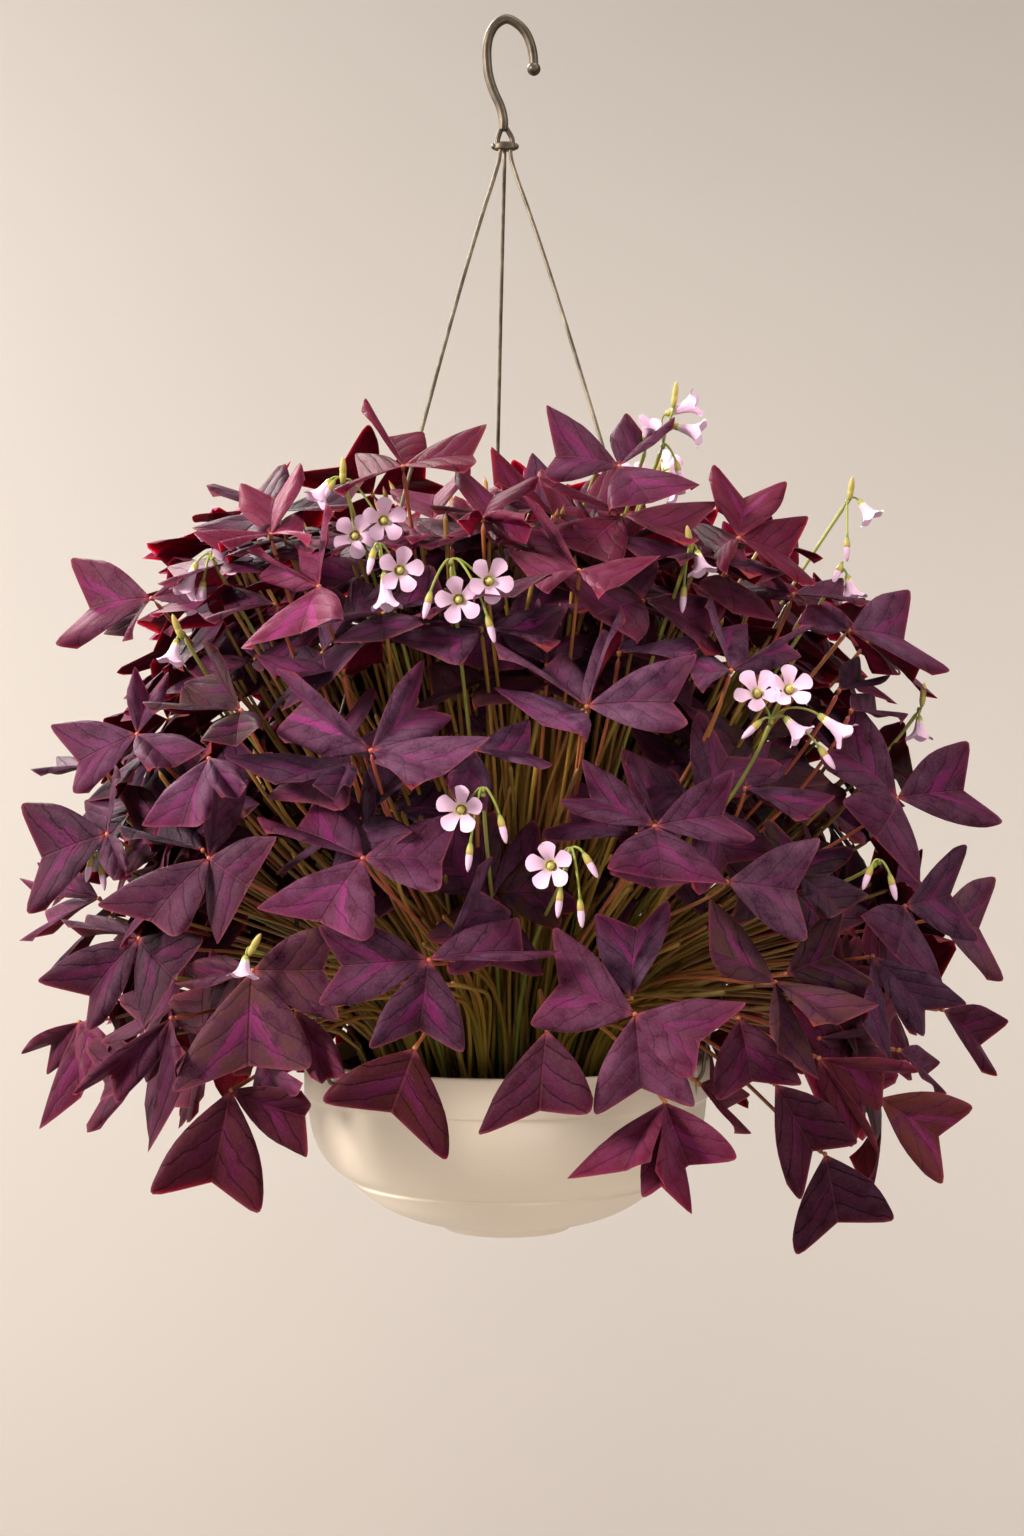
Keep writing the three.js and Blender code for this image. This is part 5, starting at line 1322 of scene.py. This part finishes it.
upper_skin = leaf_skin("oxalis_leaf_upper", UPPER, 0.72)
under_skin = leaf_skin("oxalis_leaf_underside", UNDER, 0.1)
leaf_stalk = stalk_skin("oxalis_leaf_stalk", "#8f7a2c", "#ac503a", "#b8505a")
# The stalks inside the dome take a painted-shade copy of the stalk material
inner_stalk = stalk_skin("oxalis_leaf_stalk_shaded", "#a88636", "#a66834", "#9c4a4a")
flower_stalk = stalk_skin("oxalis_flower_stalk", "#7f8a38", "#a08a48", "#8f9c46")
petal = petal_skin("oxalis_petal")
flower_eye = eye_skin("oxalis_flower_eye")
steel = bronzed_steel("bronzed_steel", "#4a4036", "#6c6053")
# The wires' steel is a lighter copy of the hook's: a painted highlight
wire_steel_painted_highlight = bronzed_steel("bronzed_steel_wire_painted_highlight", "#544a3e", "#857866")
glaze = satin_glaze("satin_glazed_stoneware")
compost = potting_soil("peat_compost")

for i, crown in enumerate(crowns):
    parts = clump_parts(crown["leaves"], np.random.default_rng(1000 + i))
    parts.append(bulb(crown["spot"], CROWN_RADIUS))
    looks = [upper_skin, under_skin, leaf_stalk]
    make_piece(f"leaves_{i + 1:02d}", parts, looks, [f"leaf_clump_{i + 1}"])

for i, bloom in enumerate(blooms):
    parts = bloom_parts(bloom, np.random.default_rng(2000 + i))
    parts.append(bulb(scapes[i]["spot"], SCAPE_ROOT))
    looks = [petal, flower_eye, flower_stalk]
    make_piece(f"flowers_{i + 1:02d}", parts, looks, [f"flower_head_{i + 1}"])

inner_foliage()


# Hanger


def upright(line):
    """Points (m, 3) from across and height."""
    return np.insert(np.asarray(line, dtype=float), 1, 0, axis=1)


def bar(line, radius, sides):
    """A round bar along smoothed knots, its ends drawn in over a short cap."""
    path = rounded(line, 8)
    caps = path[[0, -1]] + 0.02 * (path[[1, -2]] - path[[0, -1]])
    path = np.concatenate([path[:1], caps[:1], path[1:-1], caps[1:], path[-1:]])
    radii = np.full(len(path), radius)
    radii[[0, -1]] = 0
    return tubes(path[None], radii, sides)


def ball(centre, radius, sides):
    """A ball as a bar whose radius is that of its upright circle."""
    angle = np.linspace(0, math.pi, sides // 2 + 1)
    line = vec(*centre) - radius * np.cos(angle)[:, None] * UP
    return tubes(line[None], radius * np.sin(angle), sides)


hook = [bar(upright(HOOK_LINE), HOOK_BAR / 2, 20), ball((13.4, 0, -22.6), HOOK_BALL / 2, 24)]
hook += [bar(upright(line), LEG_BAR / 2, 14) for line in LEG_LINES]
make_piece("hook", hook, [steel], ["hanger_hook"])

# Half the barrel's depth is one across; it is stretched to its width once it is turned
crimp = np.array([
    [0, -COLLAR_HEIGHT], [0.86, -COLLAR_HEIGHT], [0.97, -3.55], [1, -2.8], [0.98, -1.95], [1, -1.1],
    [0.97, -0.35], [0.86, 0], [0, 0],
])
barrel = turned(crimp * [COLLAR_DEPTH / 2, 1], 40, lift=COLLAR_TOP)
barrel["points"] = barrel["points"] * [COLLAR_WIDTH / COLLAR_DEPTH, 1, 1] + vec(COLLAR_X, 0, 0)
reach = COLLAR_WIDTH / 2 - 0.4
knobs = [ball((COLLAR_X + x, 0, COLLAR_TOP - COLLAR_HEIGHT / 2), 1.7, 14) for x in (-reach, reach)]
make_piece("collar", [barrel, *knobs], [steel], ["hanger_collar"])

for i, bearing in enumerate(WIRE_BEARINGS, 1):
    wire = bar(wire_knots(bearing), WIRE / 2, 12)
    make_piece(f"wire_{i}", [wire], [wire_steel_painted_highlight], [f"hanger_wire_{i}"])

# Bowl and soil

# Radius and height from the rim
FLOOR_LINE = [
    [0, -84], [27.6, -84], [28.3, -84.3], [28.6, -85.6], [29.2, -86], [30.8, -86], [31.6, -85.6],
    [32.6, -83.4],
]
BELLY = [[34.4, -82.4], [50, -79], [66, -71.3], [76.9, -62.5]]
GROOVE = [[77.5, -61.8], [77.2, -61.4], [77.2, -60.9], [77.9, -60.2]]
FLANK = [[78.6, -59.9], [86.5, -54.6], [93.4, -46], [98, -33], [99.6, -19.6]]
LIP = [
    [99.9, -19.2], [100.7, -18.9], [RIM_RADIUS, -18.3], [RIM_RADIUS, -1.3], [100.6, -0.4], [99.7, 0],
    [98, 0], [97.2, -0.4],
]
INNER_WALL = [[99.6, -BAND_HEIGHT], [98, -33], [93.4, -46], [77.6, -60.5], [50, -78]]
DRILL_LENGTHS = np.array([88, 88.2, 96, 107.8, 108])
DRILL_RADIUS = 1.9
SOIL_SEGMENTS = 96


def bowl_inside(inset):
    """The bowl's inner wall from under the band down to its floor."""
    return rounded(INNER_WALL, 5) + [-WALL * 0.9 - inset, WALL * 0.7 + inset]


def drilled(piece, cutter):
    """Cuts one mesh from another for good."""
    cut = piece.modifiers.new("holes", "BOOLEAN")
    cut.object = cutter
    cut.solver = "EXACT"
    evaluated = piece.evaluated_get(bpy.context.evaluated_depsgraph_get())
    old, piece.data = piece.data, bpy.data.meshes.new_from_object(evaluated)
    piece.modifiers.clear()
    bpy.data.meshes.remove(old)
    bpy.data.objects.remove(cutter)


def soil_lumps(rows, rng):
    """Heights of a crumbly surface, each the mean of a draw and its two neighbours, made larger."""
    lumps = rng.uniform(-1, 1, (rows, SOIL_SEGMENTS)) * 0.7
    return (lumps + np.roll(lumps, 1, axis=1) + np.roll(lumps, 1, axis=0)) * 0.7


inside = bowl_inside(0)
floor = [[0, inside[-1, 1] + 0.5]]
profile = np.concatenate([FLOOR_LINE, rounded(BELLY, 8), GROOVE, rounded(FLANK, 8), LIP, inside, floor])
pot = make_piece("pot_glazed", [turned(profile, 144)], [glaze], ["pot"])
bearings = np.radians(WIRE_BEARINGS)[:, None] - math.pi / 2
holes = polar(DRILL_LENGTHS * np.ones((len(bearings), 1)), bearings, RIM_Z - HOLE_DROP)
radii = DRILL_RADIUS * np.array([0, 1, 1, 1, 0])
drilled(pot, make_piece("drills", [tubes(holes, radii, 20)], [glaze]))

inner = bowl_inside(0.3)[::-1]
surface = -SOIL_DROP - 1.6
spread = np.linspace(inner[-1, 0] - 0.4, 0, 26)
top = np.stack([spread, np.full(len(spread), surface)], -1)
top[0, 1] = -SOIL_DROP - 3.4
profile = np.concatenate([[[0, inner[0, 1] + 0.8]], inner, top])
lumps = np.zeros((len(profile), SOIL_SEGMENTS))
first = len(inner) + 2
lumps[first:-1] = soil_lumps(len(profile) - first - 1, np.random.default_rng(31))
make_piece("soil_surface", [turned(profile, SOIL_SEGMENTS, lumps)], [compost], ["soil"])

studio()
